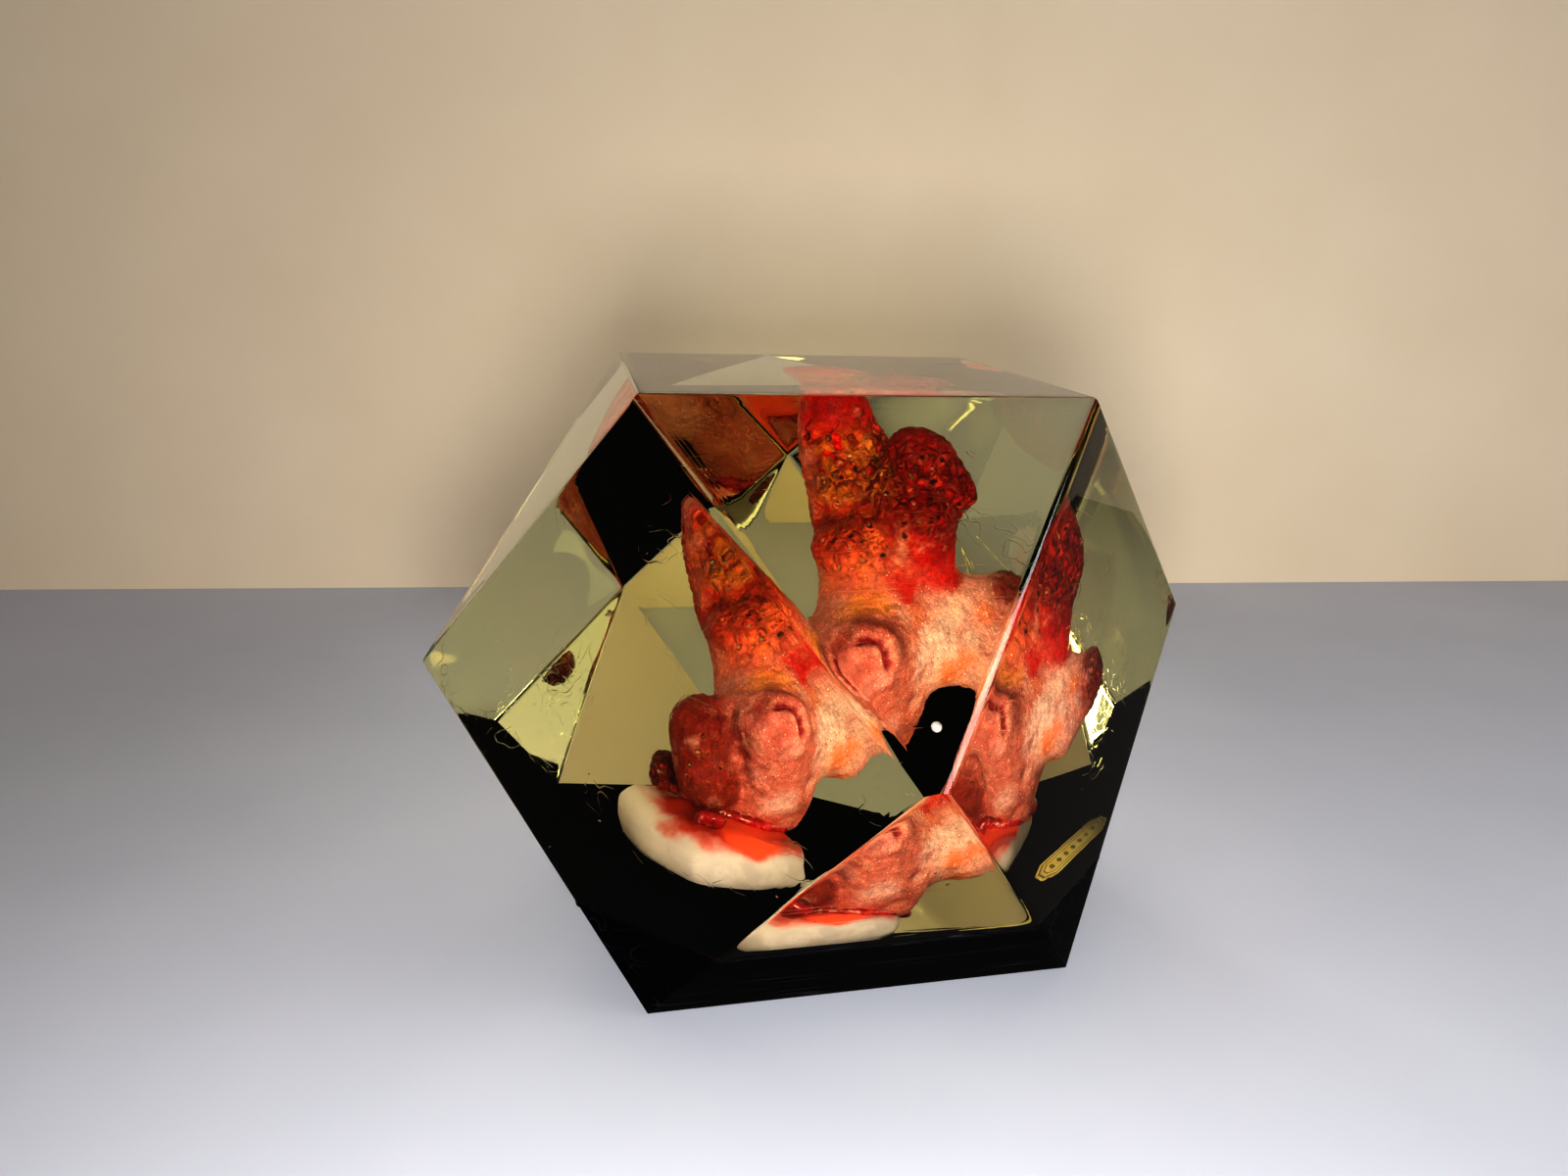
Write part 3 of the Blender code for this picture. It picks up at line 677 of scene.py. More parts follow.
# the colours of the dye, brushed on limb by limb, with dabs of painted shade where shade falls
dyeAndShade = {
    "shades": {
        "salmon": (212, 112, 102),
        "rose": (194, 90, 86),
        "cream": (255, 198, 200),
        "peach": (240, 162, 160),
        "orange": (248, 118, 60),
        "amber": (255, 156, 88),
        "orangeRed": (176, 34, 12),
        "scarlet": (196, 12, 8),
        "crimson": (136, 8, 4),
        "deepRed": (122, 14, 8),
        "maroon": (104, 26, 22),
        "brownRed": (150, 48, 34),
        "rust": (138, 38, 22),
        "umber": (134, 54, 38),
        "wine": (128, 16, 26),
        "gold": (176, 92, 30),
    },
    # the shade at each station of a limb
    "limbs": {
        "rootLeft": ["rose", "salmon"],
        "rootRight": ["salmon", "salmon", "salmon"],
        "rootCorner": ["salmon", "salmon"],
        "shoulder": ["salmon", "salmon"],
        "eyeStub": ["salmon", "salmon"],
        "underStub": ["salmon", "salmon"],
        "leftNub": ["maroon", "maroon"],
        "lowerLobe": ["orange", "orangeRed"],
        "tallBranch": ["orangeRed", "orangeRed", "scarlet"],
        "knobbedBranch": ["scarlet", "crimson", "crimson", "crimson"],
        "armTop": ["peach", "peach"],
        "armBelly": ["cream", "peach", "salmon"],
        "armKnob": ["brownRed", "maroon", "maroon"],
        "leftKnob": ["rust", "rust"],
    },
    # brush dabs over that, of dye and of painted shade: x, y, z, reach, shade, strength
    "dabs": [
        (-0.4, -1.4, 32.8, 2.6, "orange", 0.9), (2.8, -2.6, 33.2, 3.4, "orange", 0.9),
        (1.0, -2.6, 32.9, 3.4, "amber", 1.0), (4.5, -3.3, 32.6, 2.6, "amber", 0.8),
        (-0.7, -1.0, 32.0, 2.6, "peach", 0.6), (7.5, -2.0, 33.6, 2.6, "scarlet", 0.9),
        (8.7, -1.4, 33.0, 2.2, "scarlet", 0.9), (6.6, -1.0, 34.8, 2.2, "scarlet", 0.9),
        (9.1, -2.9, 31.4, 2.0, "orange", 0.5), (12.0, -2.8, 28.0, 3.0, "cream", 0.9),
        (9.6, -4.2, 28.6, 2.2, "cream", 0.9), (8.7, -5.6, 26.2, 2.4, "cream", 1.0),
        (8.0, -5.9, 23.4, 2.2, "cream", 0.9), (7.2, -5.0, 20.6, 1.6, "cream", 0.4),
        (7.4, -3.7, 31.4, 1.8, "peach", 0.7), (11.6, -4.0, 23.0, 3.0, "orange", 0.9),
        (13.4, -3.0, 24.6, 2.4, "orange", 0.7), (12.0, 0.5, 20.5, 3.6, "orange", 0.9),
        (14.4, 0.4, 30.6, 2.6, "peach", 1.0), (18.0, 1.4, 31.2, 1.6, "brownRed", 0.8),
        (18.8, 2.3, 31.4, 2.2, "maroon", 0.9), (16.5, 0.0, 29.4, 1.6, "orange", 0.7),
        (18.4, -0.5, 27.1, 1.6, "cream", 0.9), (15.0, -2.0, 27.2, 2.4, "cream", 0.8),
        (13.0, -0.9, 30.1, 2.6, "cream", 0.7), (15.9, -2.0, 25.2, 1.4, "brownRed", 0.7),
        # the rust dabs about the stub's top and left are painted shade, and the two brownRed dabs at x
        # 4.9 and 5.8 are a painted shadow in the crevice at its upper right
        (18.4, 1.6, 26.6, 2.4, "brownRed", 0.8), (-1.6, -7.8, 30.6, 2.6, "rust", 0.85),
        (0.2, -7.8, 32.0, 1.6, "rust", 0.6), (2.4, -6.8, 32.6, 2.4, "rust", 0.6),
        (4.9, -7.4, 31.0, 2.2, "brownRed", 0.7), (5.8, -7.4, 28.6, 1.8, "brownRed", 0.6),
        (0.9, -11.0, 28.4, 1.0, "brownRed", 0.5), (-1.8, -9.0, 29.0, 2.8, "rose", 0.6),
        (-0.3, -10.9, 27.2, 1.6, "brownRed", 0.6), (2.4, -10.4, 26.2, 2.4, "peach", 0.6),
        (7.0, -5.6, 21.0, 1.4, "deepRed", 0.6), (5.6, -5.2, 18.6, 1.3, "deepRed", 0.5),
        (6.6, -3.6, 17.6, 1.4, "brownRed", 0.5), (3.0, -6.0, 19.0, 3.4, "cream", 0.8),
        (1.0, -5.4, 17.6, 2.6, "cream", 0.7), (2.2, -7.0, 22.4, 2.6, "salmon", 0.8),
        (-0.4, 12.0, 40.0, 3.0, "rose", 0.7), (-2.8, 12.4, 43.6, 3.2, "salmon", 0.9),
        (-2.4, 14.0, 47.0, 2.6, "salmon", 0.7), (-1.4, 6.6, 33.4, 2.6, "salmon", 0.7),
        (-1.6, 10.9, 44.6, 1.7, "salmon", 0.8), (-1.4, 9.6, 42.0, 1.5, "salmon", 0.8),
        (-1.3, 8.3, 39.8, 1.3, "salmon", 0.7), (1.2, 10.8, 50.2, 2.6, "crimson", 0.7),
        (-1.6, 4.4, 31.0, 3.0, "rose", 0.6), (4.4, 9.4, 45.8, 2.6, "orange", 0.5),
        (5.4, 9.6, 46.6, 1.6, "amber", 0.7), (1.7, 7.2, 41.9, 2.6, "gold", 0.6),
        (3.4, 7.4, 42.0, 2.4, "gold", 0.7), (4.6, 5.9, 42.6, 2.0, "gold", 0.7),
        # the two maroon dabs are painted shade in the crease between the tall branch and the lobe, over
        # its dark crack
        (-0.4, 6.6, 38.6, 1.9, "maroon", 0.9), (1.6, 4.8, 40.0, 1.6, "maroon", 0.8),
        (0.0, 3.4, 38.6, 1.8, "scarlet", 0.7), (3.8, 0.6, 38.6, 2.4, "orange", 0.5),
        (2.4, 0.0, 35.6, 2.2, "orange", 0.5), (7.9, -0.2, 37.3, 2.2, "orangeRed", 0.8),
        (8.8, 2.6, 44.0, 1.8, "orangeRed", 0.6), (9.6, 1.4, 36.4, 2.4, "scarlet", 0.6),
        # the umber, deepRed and rust dabs from here on are painted shade in the valley between the left
        # knob and the trunk and on the knob's shaded right side, over the knob's own dark red
        (12.6, 3.6, 38.4, 2.0, "scarlet", 0.5), (-4.8, -4.4, 18.2, 2.4, "umber", 0.6),
        (-2.4, -4.8, 19.2, 2.0, "umber", 0.4), (-1.6, -5.0, 22.4, 1.7, "umber", 0.8),
        (-1.6, -4.8, 25.0, 1.6, "umber", 0.8), (-1.4, -4.4, 27.4, 1.8, "umber", 0.7),
        (-5.6, -4.4, 26.8, 3.2, "deepRed", 0.8), (-3.6, -5.4, 25.6, 2.0, "deepRed", 0.8),
        (-2.6, -6.0, 24.6, 2.2, "rust", 0.9), (-2.8, -6.6, 27.2, 2.0, "rust", 0.8),
        (-2.2, -5.8, 22.6, 1.5, "umber", 0.6), (-3.4, -5.4, 22.2, 1.8, "rust", 0.8),
        (-1.0, -6.4, 22.2, 1.8, "peach", 0.6), (-6.4, -4.6, 22.0, 2.6, "rust", 0.7),
        (-2.2, -7.6, 26.6, 1.8, "rust", 0.8), (-7.4, -3.8, 19.6, 2.0, "umber", 0.6),
    ],
    "limbBlend": 1.6,
    "limbSink": 1.5,
}

# the finish of the coral's surface
skin = {
    "flush": (184, 66, 62),
    "bleach": (255, 176, 156),
    "golden": (196, 108, 34),
    "dusky": (84, 28, 10),
    "ruddy": (156, 36, 14),
    "sparkle": (255, 226, 214),
    "dot": (160, 44, 32),
    "seamShade": (52, 10, 5),
    "hole": (34, 9, 7),
    "filledHole": (178, 128, 96),
    "rim": (210, 84, 50),
    "glint": (250, 222, 180),
    "cobbleScale": 820.0,
    "cobbleDrift": 0.7,
    "cobbleRelief": 0.4,
    "grainSize": 0.3,
    "grainRelief": 0.14,
    "fineRelief": 0.06,
    "softness": 0.8,
}


def pitField(places, spacing, radius):
    # how deep in a pit each place is, 0 to 1, and a chance value of its cell
    depth = np.zeros(len(places))
    chance = np.zeros(len(places))
    for index, place in enumerate(places):
        reaches, points = noise.voronoi(Vector(place) / spacing)
        depth[index] = reaches[0] * spacing
        chance[index] = noise.cell(points[0] * 7.3)
    return fade(depth, radius), chance * 0.5 + 0.5


def noiseField(places, spacing):
    return np.array([noise.noise(Vector(place) / spacing) for place in places])


def cobbleField(places, spacing):
    # rounded cobbles with seams between them
    seams = np.array([np.subtract(*noise.voronoi(Vector(place) / spacing)[0][1::-1]) for place in places])
    return 1 - np.clip(1 - seams * 2.2, 0, 1) ** 2


def trimAtBreak(piece, below, side):
    # cuts along the plane between coral and foot: 1 takes what is above it, -1 what is under it
    tilt = Vector(coral["breakTilt"]).normalized()
    trimmed(piece, spot(*coral["breakPoint"]) - tilt * below * mm, tilt * side)


def pittedMask(places):
    # 1 on the pitted knobs, 0 on the smooth skin
    pitted = np.zeros(len(places))
    for x, y, z, reach in coral["pitted"]:
        pitted = np.maximum(pitted, np.clip(2.5 * nearness(places, x, y, z, reach), 0, 1))
    for x, y, z, reach in coral["smooth"]:
        pitted *= 1 - nearness(places, x, y, z, reach)
    return pitted


def openPits(places, ragged, pits, height):
    # the single pits: adds them to the pits, sinks the height there and gives back the mask of their rims
    rims = np.zeros(len(places))
    for x, y, z, reach in coral["openings"]:
        distance = distances(places, onSurface(places, x, y, z)) + ragged
        rim = fade(abs(distance - reach), reach * 0.6)
        rims = np.maximum(rims, rim)
        pits[:] = np.maximum(pits, fade(distance, reach))
        height -= fade(distance, reach) * coral["openingDepth"] - rim * coral["openingRim"]
    return rims


def makeCoral():
    piece = grown("coral", coral["limbs"].values(), coral)
    trimAtBreak(piece, coral["endsBelow"], -1)
    places, normals = readPlaces(piece)
    pitted = pittedMask(places)
    crust = np.clip(2.2 * nearness(places, *coral["crust"]), 0, 1) * pitted
    pits, chance = pitField(places, coral["pitSpacing"], coral["pitRadius"])
    pits *= np.clip(chance * 1.6 - 0.2, 0, 1) * pitted
    cobbles = cobbleField(places, coral["cobbleSpacing"]) * pitted
    lumps = noiseField(places, coral["lumpSpacing"]) * coral["lumpHeight"] * (0.45 + 0.75 * pitted)
    grain = noiseField(places, coral["grainSpacing"]) * coral["grainHeight"]
    height = coral["swell"] + lumps + grain + cobbles * coral["cobbleHeight"] * (0.5 + 0.7 * crust)
    height -= pits * coral["pitDepth"]
    for x, y, z, reach, depth in coral["dents"]:
        height -= nearness(places, *onSurface(places, x, y, z), reach) * depth
    offGroove = offLine(places, [onSurface(places, *place) for place in coral["groove"]])
    height -= fade(offGroove, coral["grooveReach"]) * coral["grooveDepth"]
    ragged = noiseField(places, coral["raggedSpacing"]) * coral["raggedHeight"]
    rims = openPits(places, ragged, pits, height)
    places += normals * height[:, None]
    face, outward = (np.array(part) for part in coral["stubFace"])
    beyond = np.clip((places - face) @ outward, 0, None)
    writePlaces(piece, places - outward * (beyond * coral["stubSquash"])[:, None])
    for name, mask in (("pits", pits), ("rims", rims), ("pitted", pitted), ("crust", crust)):
        keepMask(piece, name, mask)
    inGroove = np.clip(1.6 * fade(offGroove + 0.4 * ragged, 0.8 * coral["grooveReach"]), 0, 1)[:, None]
    keepPaint(piece, "dyeAndShade", paintCoral(places) * (1 - inGroove) + shadeOf("wine") * inGroove)
    bpy.ops.object.shade_smooth()
    return piece


def shadeOf(name):
    return np.array(paint(*dyeAndShade["shades"][name]))


def paintCoral(places):
    # each limb's shades run into the next, then the dabs go over them
    total = np.zeros((len(places), 4))
    weights = np.zeros(len(places))
    for limb, stations in coral["limbs"].items():
        for (x, y, z, radius), shade in zip(stations, dyeAndShade["limbs"][limb]):
            distance = distances(places, (x, y, z)) - radius
            outside = np.clip(distance + dyeAndShade["limbSink"], 0, None)
            weight = np.exp(-(outside / dyeAndShade["limbBlend"]) ** 2) + 1e-6 / (1 + distance * distance)
            total += weight[:, None] * shadeOf(shade)
            weights += weight
    colours = total / weights[:, None]
    wander = noiseField(places, 1.7) * 0.8 + noiseField(places, 0.6) * 0.5
    for x, y, z, reach, shade, strength in dyeAndShade["dabs"]:
        distance = distances(places, onSurface(places, x, y, z)) + wander * min(1, reach / 2.2)
        share = (fade(distance, reach) * strength)[:, None]
        colours = colours * (1 - share) + shadeOf(shade) * share
    return colours


def bareSkin(tree, place, tone, bare):
    # the smooth skin flushes darker and bleaches paler in clouds
    clouds = noiseAt(tree, place, 260.0, 4.0, 0.65)
    tone = tinted(tree, tone, skin["flush"], ramp(tree, clouds, 0.52, 0.72, 0.0, 0.5), bare)
    return tinted(tree, tone, skin["bleach"], ramp(tree, clouds, 0.48, 0.3, 0.0, 0.45), bare)


def cobbledSkin(tree, place, tone, cobble, chance, pitted, crust):
    # cobbles differ in tone: all a little, and those of the crust in three colours; each is also painted
    # lighter in its middle and darker at its edge, a painted shade of its dome
    blotch = ramp(tree, noiseAt(tree, place, 900.0, 4.0, 0.65), 0.3, 0.7, 0.74, 1.26)
    domeShade = ramp(tree, cobble, 0.12, 0.62, 0.5, -0.55)
    patch = maths(tree, "ADD", domeShade, maths(tree, "SUBTRACT", chance[0], 0.5))
    level = maths(tree, "ADD", blotch, times(tree, patch, pitted, 0.8))
    tone = shaded(tree, tone, maths(tree, "MAXIMUM", level, 0.12))
    tone = tinted(tree, tone, skin["golden"], ramp(tree, chance[1], 0.3, 0.5), crust, 0.75)
    tone = tinted(tree, tone, skin["dusky"], ramp(tree, chance[2], 0.66, 0.8), crust, 0.75)
    return tinted(tree, tone, skin["ruddy"], ramp(tree, chance[0], 0.3, 0.16), pitted, 0.7)


def grainySkin(tree, place, tone, fine, dyeAndShadeTone, bare):
    # sugary grain on the smooth skin, with sparkles where the dye is pale, and dots all over
    grainy = maths(tree, "SUBTRACT", ramp(tree, fine["Height"], 0.45, 0.95, 0.74, 1.2), 1.0)
    tone = shaded(tree, tone, maths(tree, "ADD", 1.0, times(tree, grainy, bare)))
    sugary = ramp(tree, noiseAt(tree, place, 420.0, 2.0), 0.4, 0.62, 0.25, 1.0)
    paleDye = ramp(tree, node(tree, "SeparateColor", {0: dyeAndShadeTone}).outputs[1], 0.03, 0.12)
    tone = tinted(tree, tone, skin["sparkle"], fine["Sparkle"], bare, 0.85, sugary, paleDye)
    distance, chance = cellsAt(tree, place, 1900.0)
    dots = (ramp(tree, chance[0], 0.68, 0.8), ramp(tree, distance, 0.4, 0.2))
    return tinted(tree, tone, skin["dot"], *dots, 0.4)


def coralMaterial():
    material, tree, shader, place = newMaterial("dyedCoral")
    dyeAndShadeTone = attribute(tree, "dyeAndShade")["Color"]
    masks = ("pits", "rims", "pitted", "crust")
    pits, rims, pitted, crust = (attribute(tree, name)["Fac"] for name in masks)
    bare = maths(tree, "SUBTRACT", 1.0, pitted)
    fine = withGroup(tree, sugarGrain, Place=place, Size=skin["grainSize"] * mm)
    drift = node(tree, "TexNoise", {"Vector": place, "Scale": 500.0, "Detail": 2.0}).outputs["Color"]
    reach = (skin["cobbleDrift"] * mm,) * 3
    drift = node(tree, "VectorMath", {0: drift, 1: reach}, operation="MULTIPLY").outputs[0]
    warped = node(tree, "VectorMath", {0: place, 1: drift}, operation="ADD").outputs[0]
    cobble, chance = cellsAt(tree, warped, skin["cobbleScale"])
    ins = {"Vector": warped, "Scale": skin["cobbleScale"]}
    gap = node(tree, "TexVoronoi", ins, feature="DISTANCE_TO_EDGE").outputs["Distance"]

    tone = bareSkin(tree, place, dyeAndShadeTone, bare)
    tone = cobbledSkin(tree, place, tone, cobble, chance, pitted, crust)
    tone = grainySkin(tree, place, tone, fine, dyeAndShadeTone, bare)
    # painted shade in the crevices between the cobbles
    tone = tinted(tree, tone, skin["seamShade"], ramp(tree, gap, 0.1, 0.0), pitted, 0.34)
    # the holes are darkened with painted shade, though some are filled pale
    hole = times(tree, ramp(tree, chance[2], 0.62, 0.7), ramp(tree, cobble, 0.3, 0.14), pitted)
    hole = maths(tree, "MAXIMUM", hole, ramp(tree, pits, 0.2, 0.65))
    inHole = clouded(tree, noiseAt(tree, place, 520.0, 1.0), skin["hole"], skin["filledHole"], 0.47, 0.55)
    tone = mixed(tree, times(tree, hole, 0.85), tone, inHole)
    tone = tinted(tree, tone, skin["rim"], rims, 0.25)
    distance, glintChance = cellsAt(tree, warped, 1250.0)
    glints = times(tree, ramp(tree, glintChance[1], 0.93, 0.97), ramp(tree, distance, 0.34, 0.12))
    rough = ramp(tree, noiseAt(tree, place, 1500.0), 0.3, 0.7, 0.3, 0.55)
    dome = times(tree, ramp(tree, gap, 0.0, 0.3), pitted)
    normal = bumped(tree, maths(tree, "SUBTRACT", dome, hole), 1.0, skin["cobbleRelief"] * mm)
    normal = bumped(tree, fine["Height"], 0.9, skin["grainRelief"] * mm, normal)
    normal = bumped(tree, noiseAt(tree, place, 2600.0, 3.0), 0.5, skin["fineRelief"] * mm, normal)
    glinting = maths(tree, "ADD", times(tree, crust, 0.6), times(tree, pitted, 0.15))
    wire(tree, shader, {
        "Base Color": tinted(tree, tone, skin["glint"], glints, glinting),
        "Roughness": maths(tree, "ADD", rough, times(tree, bare, 0.12)),
        "Specular IOR Level": 0.12,
        "Subsurface Weight": 0.1,
        "Subsurface Radius": (1.0, 0.35, 0.2),
        "Subsurface Scale": skin["softness"] * mm,
        "Normal": normal,
    })
    return material


coralPiece = finished(makeCoral(), coralMaterial())
print("coral grown:", len(coralPiece.data.polygons), "faces")


# the foot: a plaster puddle with dye bled into its top

foot = {
    "limbs": {
        "leftEnd": [(-10.4, 9.0, 12.4, 3.9), (-10.8, 2.0, 12.2, 3.7), (-7.5, -5.6, 12.0, 3.9)],
        "front": [(-7.5, -5.6, 12.0, 3.9), (-2.0, -6.8, 12.2, 3.7), (2.6, -6.4, 12.8, 3.3)],
        "rightEnd": [(2.6, -6.4, 12.8, 3.3), (2.6, -2.4, 12.6, 3.2), (3.0, 5.0, 12.0, 3.4)],
        "back": [(-9.0, 10.0, 12.0, 3.8), (-2.0, 11.0, 11.8, 3.6), (3.0, 6.5, 11.8, 3.6)],
        "table": [(-5.5, 4.0, 11.8, 4.8), (1.0, 2.0, 11.6, 4.2)],
        "tableFront": [(-4.0, -1.6, 12.2, 4.0), (2.0, -1.6, 12.0, 3.2)],
    },
    "coarse": 1.6,
    "settle": 4,
    "fine": 0.33,
    "polish": 5,
    "waveSpacing": 4.2,
    "waveHeight": 0.22,
    "grainSpacing": 0.8,
    "grainHeight": 0.025,
    "clearance": 0.02,  # above the black layer
    "endsBelow": 0.9,
    "smoothBelow": 10.1,  # the skin's waves start here
    # the bled dye: an oval on the foot's top, its fade, and the height that it runs down to
    "dyeMiddle": (-1.6, -0.2),
    "dyeReach": (10.3, 11.8),
    "dyeBack": 17.0,
    "dyeFade": 0.3,
    "dyeLowest": 13.2,
    "dyeSag": 2.4,  # how much lower it runs at the back
    "poolFrom": -7.5,
    "deepShadeFrom": 0.6,
    "paleTo": -7.5,
}

plaster = {
    "shade": (186, 168, 170),
    "light": (206, 190, 190),
    "pale": (236, 216, 212),
    "speck": (160, 136, 126),
    "blush": (222, 90, 74),
    "red": (198, 56, 34),
    "pool": (250, 92, 58),
    "deepDyeAndShade": (112, 12, 16),
    "relief": 0.05,
    "softness": 0.8,
}


def rise(values, start, run):
    # 0 up to the start, 1 after the run
    return np.clip((values - start) / run, 0, 1)


def dyeFoot(piece, places, normals):
    # masks of the dye that bled into the top, of its bright pool, of its dark right front end, which is
    # dye with painted shade under the coral, and of the pale surround
    x, y, z = places.T
    across = (x - foot["dyeMiddle"][0]) / foot["dyeReach"][0]
    along = (y - foot["dyeMiddle"][1]) / np.where(y > 0, foot["dyeBack"], foot["dyeReach"][1])
    wander = noiseField(places, 2.6) * 0.15 + noiseField(places, 0.7) * 0.03
    backward = rise(y, 0, 8)
    bleed = rise(1.03 + wander - np.hypot(across, along), 0, foot["dyeFade"])
    bleed *= rise(normals[:, 2] + 0.8 * backward + wander, -0.12, foot["dyeFade"])
    bleed *= rise(z + foot["dyeSag"] * backward + wander * 2, foot["dyeLowest"], 1.0)
    keepMask(piece, "bleed", bleed)
    keepMask(piece, "pool", rise(x, foot["poolFrom"], 3.0) * bleed)
    keepMask(piece, "deepDyeAndShade", rise(x + wander * 3, foot["deepShadeFrom"], 1.8) * rise(-y, 3, 2) * bleed)
    keepMask(piece, "pale", rise(-x, -foot["paleTo"], 5))


def makeFoot():
    piece = grown("plaster_foot", foot["limbs"].values(), foot)
    trimmed(piece, Vector((0, 0, blackTop + foot["clearance"] * mm)), (0, 0, -1))
    trimAtBreak(piece, foot["endsBelow"], 1)
    places, normals = readPlaces(piece)
    height = noiseField(places, foot["waveSpacing"]) * foot["waveHeight"]
    height += noiseField(places, foot["grainSpacing"]) * foot["grainHeight"]
    height *= rise(places[:, 2], foot["smoothBelow"], 0.6)
    writePlaces(piece, places + normals * height[:, None])
    dyeFoot(piece, places, normals)
    bpy.ops.object.shade_smooth()
    return piece


def plasterMaterial():
    material, tree, shader, place = newMaterial("dyedPlaster")
    bleed, pool, deepDyeAndShade, pale = (attribute(tree, name)["Fac"] for name in ("bleed", "pool", "deepDyeAndShade", "pale"))
    tone = clouded(tree, noiseAt(tree, place, 260.0, 4.0, 0.6), plaster["shade"], plaster["light"])
    tone = tinted(tree, tone, plaster["pale"], pale, 0.8)
    specks = ramp(tree, noiseAt(tree, place, 1600.0), 0.66, 0.76, 0.0, 0.35)
    tone = tinted(tree, tone, plaster["speck"], specks)
    ragged = maths(tree, "SUBTRACT", noiseAt(tree, place, 1100.0, 4.0, 0.7), 0.5)
    feather = maths(tree, "ADD", bleed, times(tree, ragged, 0.3))
    tone = tinted(tree, tone, plaster["blush"], ramp(tree, feather, 0.03, 0.7, 0.0, 0.75))
    tone = tinted(tree, tone, plaster["red"], ramp(tree, feather, 0.3, 1.0))
    tone = tinted(tree, tone, plaster["pool"], ramp(tree, pool, 0.5, 1.0, 0.0, 0.9))
    wire(tree, shader, {
        # the dark red at the right front is dye darkened with painted shade under the coral
        "Base Color": tinted(tree, tone, plaster["deepDyeAndShade"], deepDyeAndShade, 0.85),
        "Roughness": ramp(tree, feather, 0.3, 0.9, 0.62, 0.24),
        "Specular IOR Level": 0.25,
        "Subsurface Weight": 0.2,
        "Subsurface Radius": (1.0, 0.7, 0.5),
        "Subsurface Scale": plaster["softness"] * mm,
        "Normal": bumped(tree, noiseAt(tree, place, 1400.0, 4.0), 0.25, plaster["relief"] * mm),
    })
    return material


footPiece = finished(makeFoot(), plasterMaterial())
print("foot grown:", len(footPiece.data.polygons), "faces")


# the glue: a thin pad between coral and foot, with an uneven bead round its rim

glue = {
    "centre": (0.6, 3.2),
    "radii": (6.9, 5.7),
    "depth": 0.45,
    "beads": 34,
    "beadSizes": (0.5, 0.95),
    "middleSize": 0.6,
    "coarse": 0.5,
    "settle": 2,
    "fine": 0.2,
    "polish": 1,
    "skinSpacing": 0.9,
    "skinHeight": 0.12,
    # lumps that ran out at the front: x, y, z, radius
    "lumps": [
        (-7.9, -5.4, 17.0, 0.7), (-7.0, -5.9, 17.2, 0.55), (-6.3, -6.3, 17.1, 0.75),
        (-5.4, -6.6, 16.8, 0.5), (-6.8, -4.9, 17.4, 0.6), (-4.9, -5.6, 17.0, 0.7),
    ],
    "dark": (112, 5, 10),
    "light": (180, 14, 18),
    "foam": (232, 110, 104),
    "relief": 0.1,
    "softness": 0.7,
}


def onBreak(x, y, lift):
    # a place above the tilted plane between coral and foot, or under it
    bx, by, bz = coral["breakPoint"]
    tilt = coral["breakTilt"]
    return x, y, bz - tilt[0] * (x - bx) - tilt[1] * (y - by) + lift


def rimBeads(draw):
    # beads of uneven size round the rim
    rim = []
    for step in range(glue["beads"]):
        turn = math.tau * step / glue["beads"]
        reach = draw.uniform(0.93, 1.0)
        x = glue["centre"][0] + glue["radii"][0] * reach * math.cos(turn)
        y = glue["centre"][1] + glue["radii"][1] * reach * math.sin(turn)
        place = onBreak(x, y, -glue["depth"] + draw.uniform(-0.15, 0.1))
        rim.append((*place, draw.uniform(*glue["beadSizes"])))
    return rim


def makeGlue():
    rim = rimBeads(random.Random(11))
    middle = (*onBreak(*glue["centre"], -glue["depth"]), glue["middleSize"])
    chains = [[start, end] for start, end in zip(rim, rim[1:] + rim[:1])]
    chains += [[bead, middle] for bead in rim]
    chains += [[(x, y, z, size), (x, y + 0.6, z - 0.8, size)] for x, y, z, size in glue["lumps"]]
    piece = grown("red_glue", chains, glue)
    places, normals = readPlaces(piece)
    height = noiseField(places, glue["skinSpacing"]) * glue["skinHeight"]
    writePlaces(piece, places + normals * height[:, None])
    bpy.ops.object.shade_smooth()
    return piece


def glueMaterial():
    material, tree, shader, place = newMaterial("redGlue")
    cloudy = noiseAt(tree, place, 520.0, 3.0)
    tone = clouded(tree, cloudy, glue["dark"], glue["light"])
    foam = ramp(tree, noiseAt(tree, place, 1500.0), 0.6, 0.7, 0.0, 0.5)
    wire(tree, shader, {
        "Base Color": tinted(tree, tone, glue["foam"], foam),
        "Roughness": ramp(tree, cloudy, 0.3, 0.7, 0.12, 0.3),
        "Subsurface Weight": 0.3,
        "Subsurface Scale": glue["softness"] * mm,
        "Coat Weight": 0.6,
        "Normal": bumped(tree, noiseAt(tree, place, 1100.0), 0.6, glue["relief"] * mm),
    })
    return material


gluePiece = finished(makeGlue(), glueMaterial())
print("glue set:", len(gluePiece.data.polygons), "faces")


# flaws in the resin: a pale bead near the front corner, and fine hairs beside the knobbed branch

flaws = {
    "bead": (2.2, -40.0, 36.7, 0.48),
    "hairRadius": 0.035,
    "hairs": [
        ((14.5, 8.0, 35.3), (17.4, 8.6, 28.3)), ((15.3, 8.2, 33.2), (16.3, 8.0, 29.0)),
        ((17.0, 8.0, 34.9), (20.6, 8.4, 30.2)), ((15.9, 8.0, 30.9), (15.2, 8.2, 28.2)),
        ((16.4, 8.4, 31.6), (17.5, 8.0, 28.0)),
    ],
    "pearl": ((168, 162, 152), (205, 200, 192)),
    "hair": ((120, 104, 50), (244, 232, 150)),
    "softness": 0.5,
}


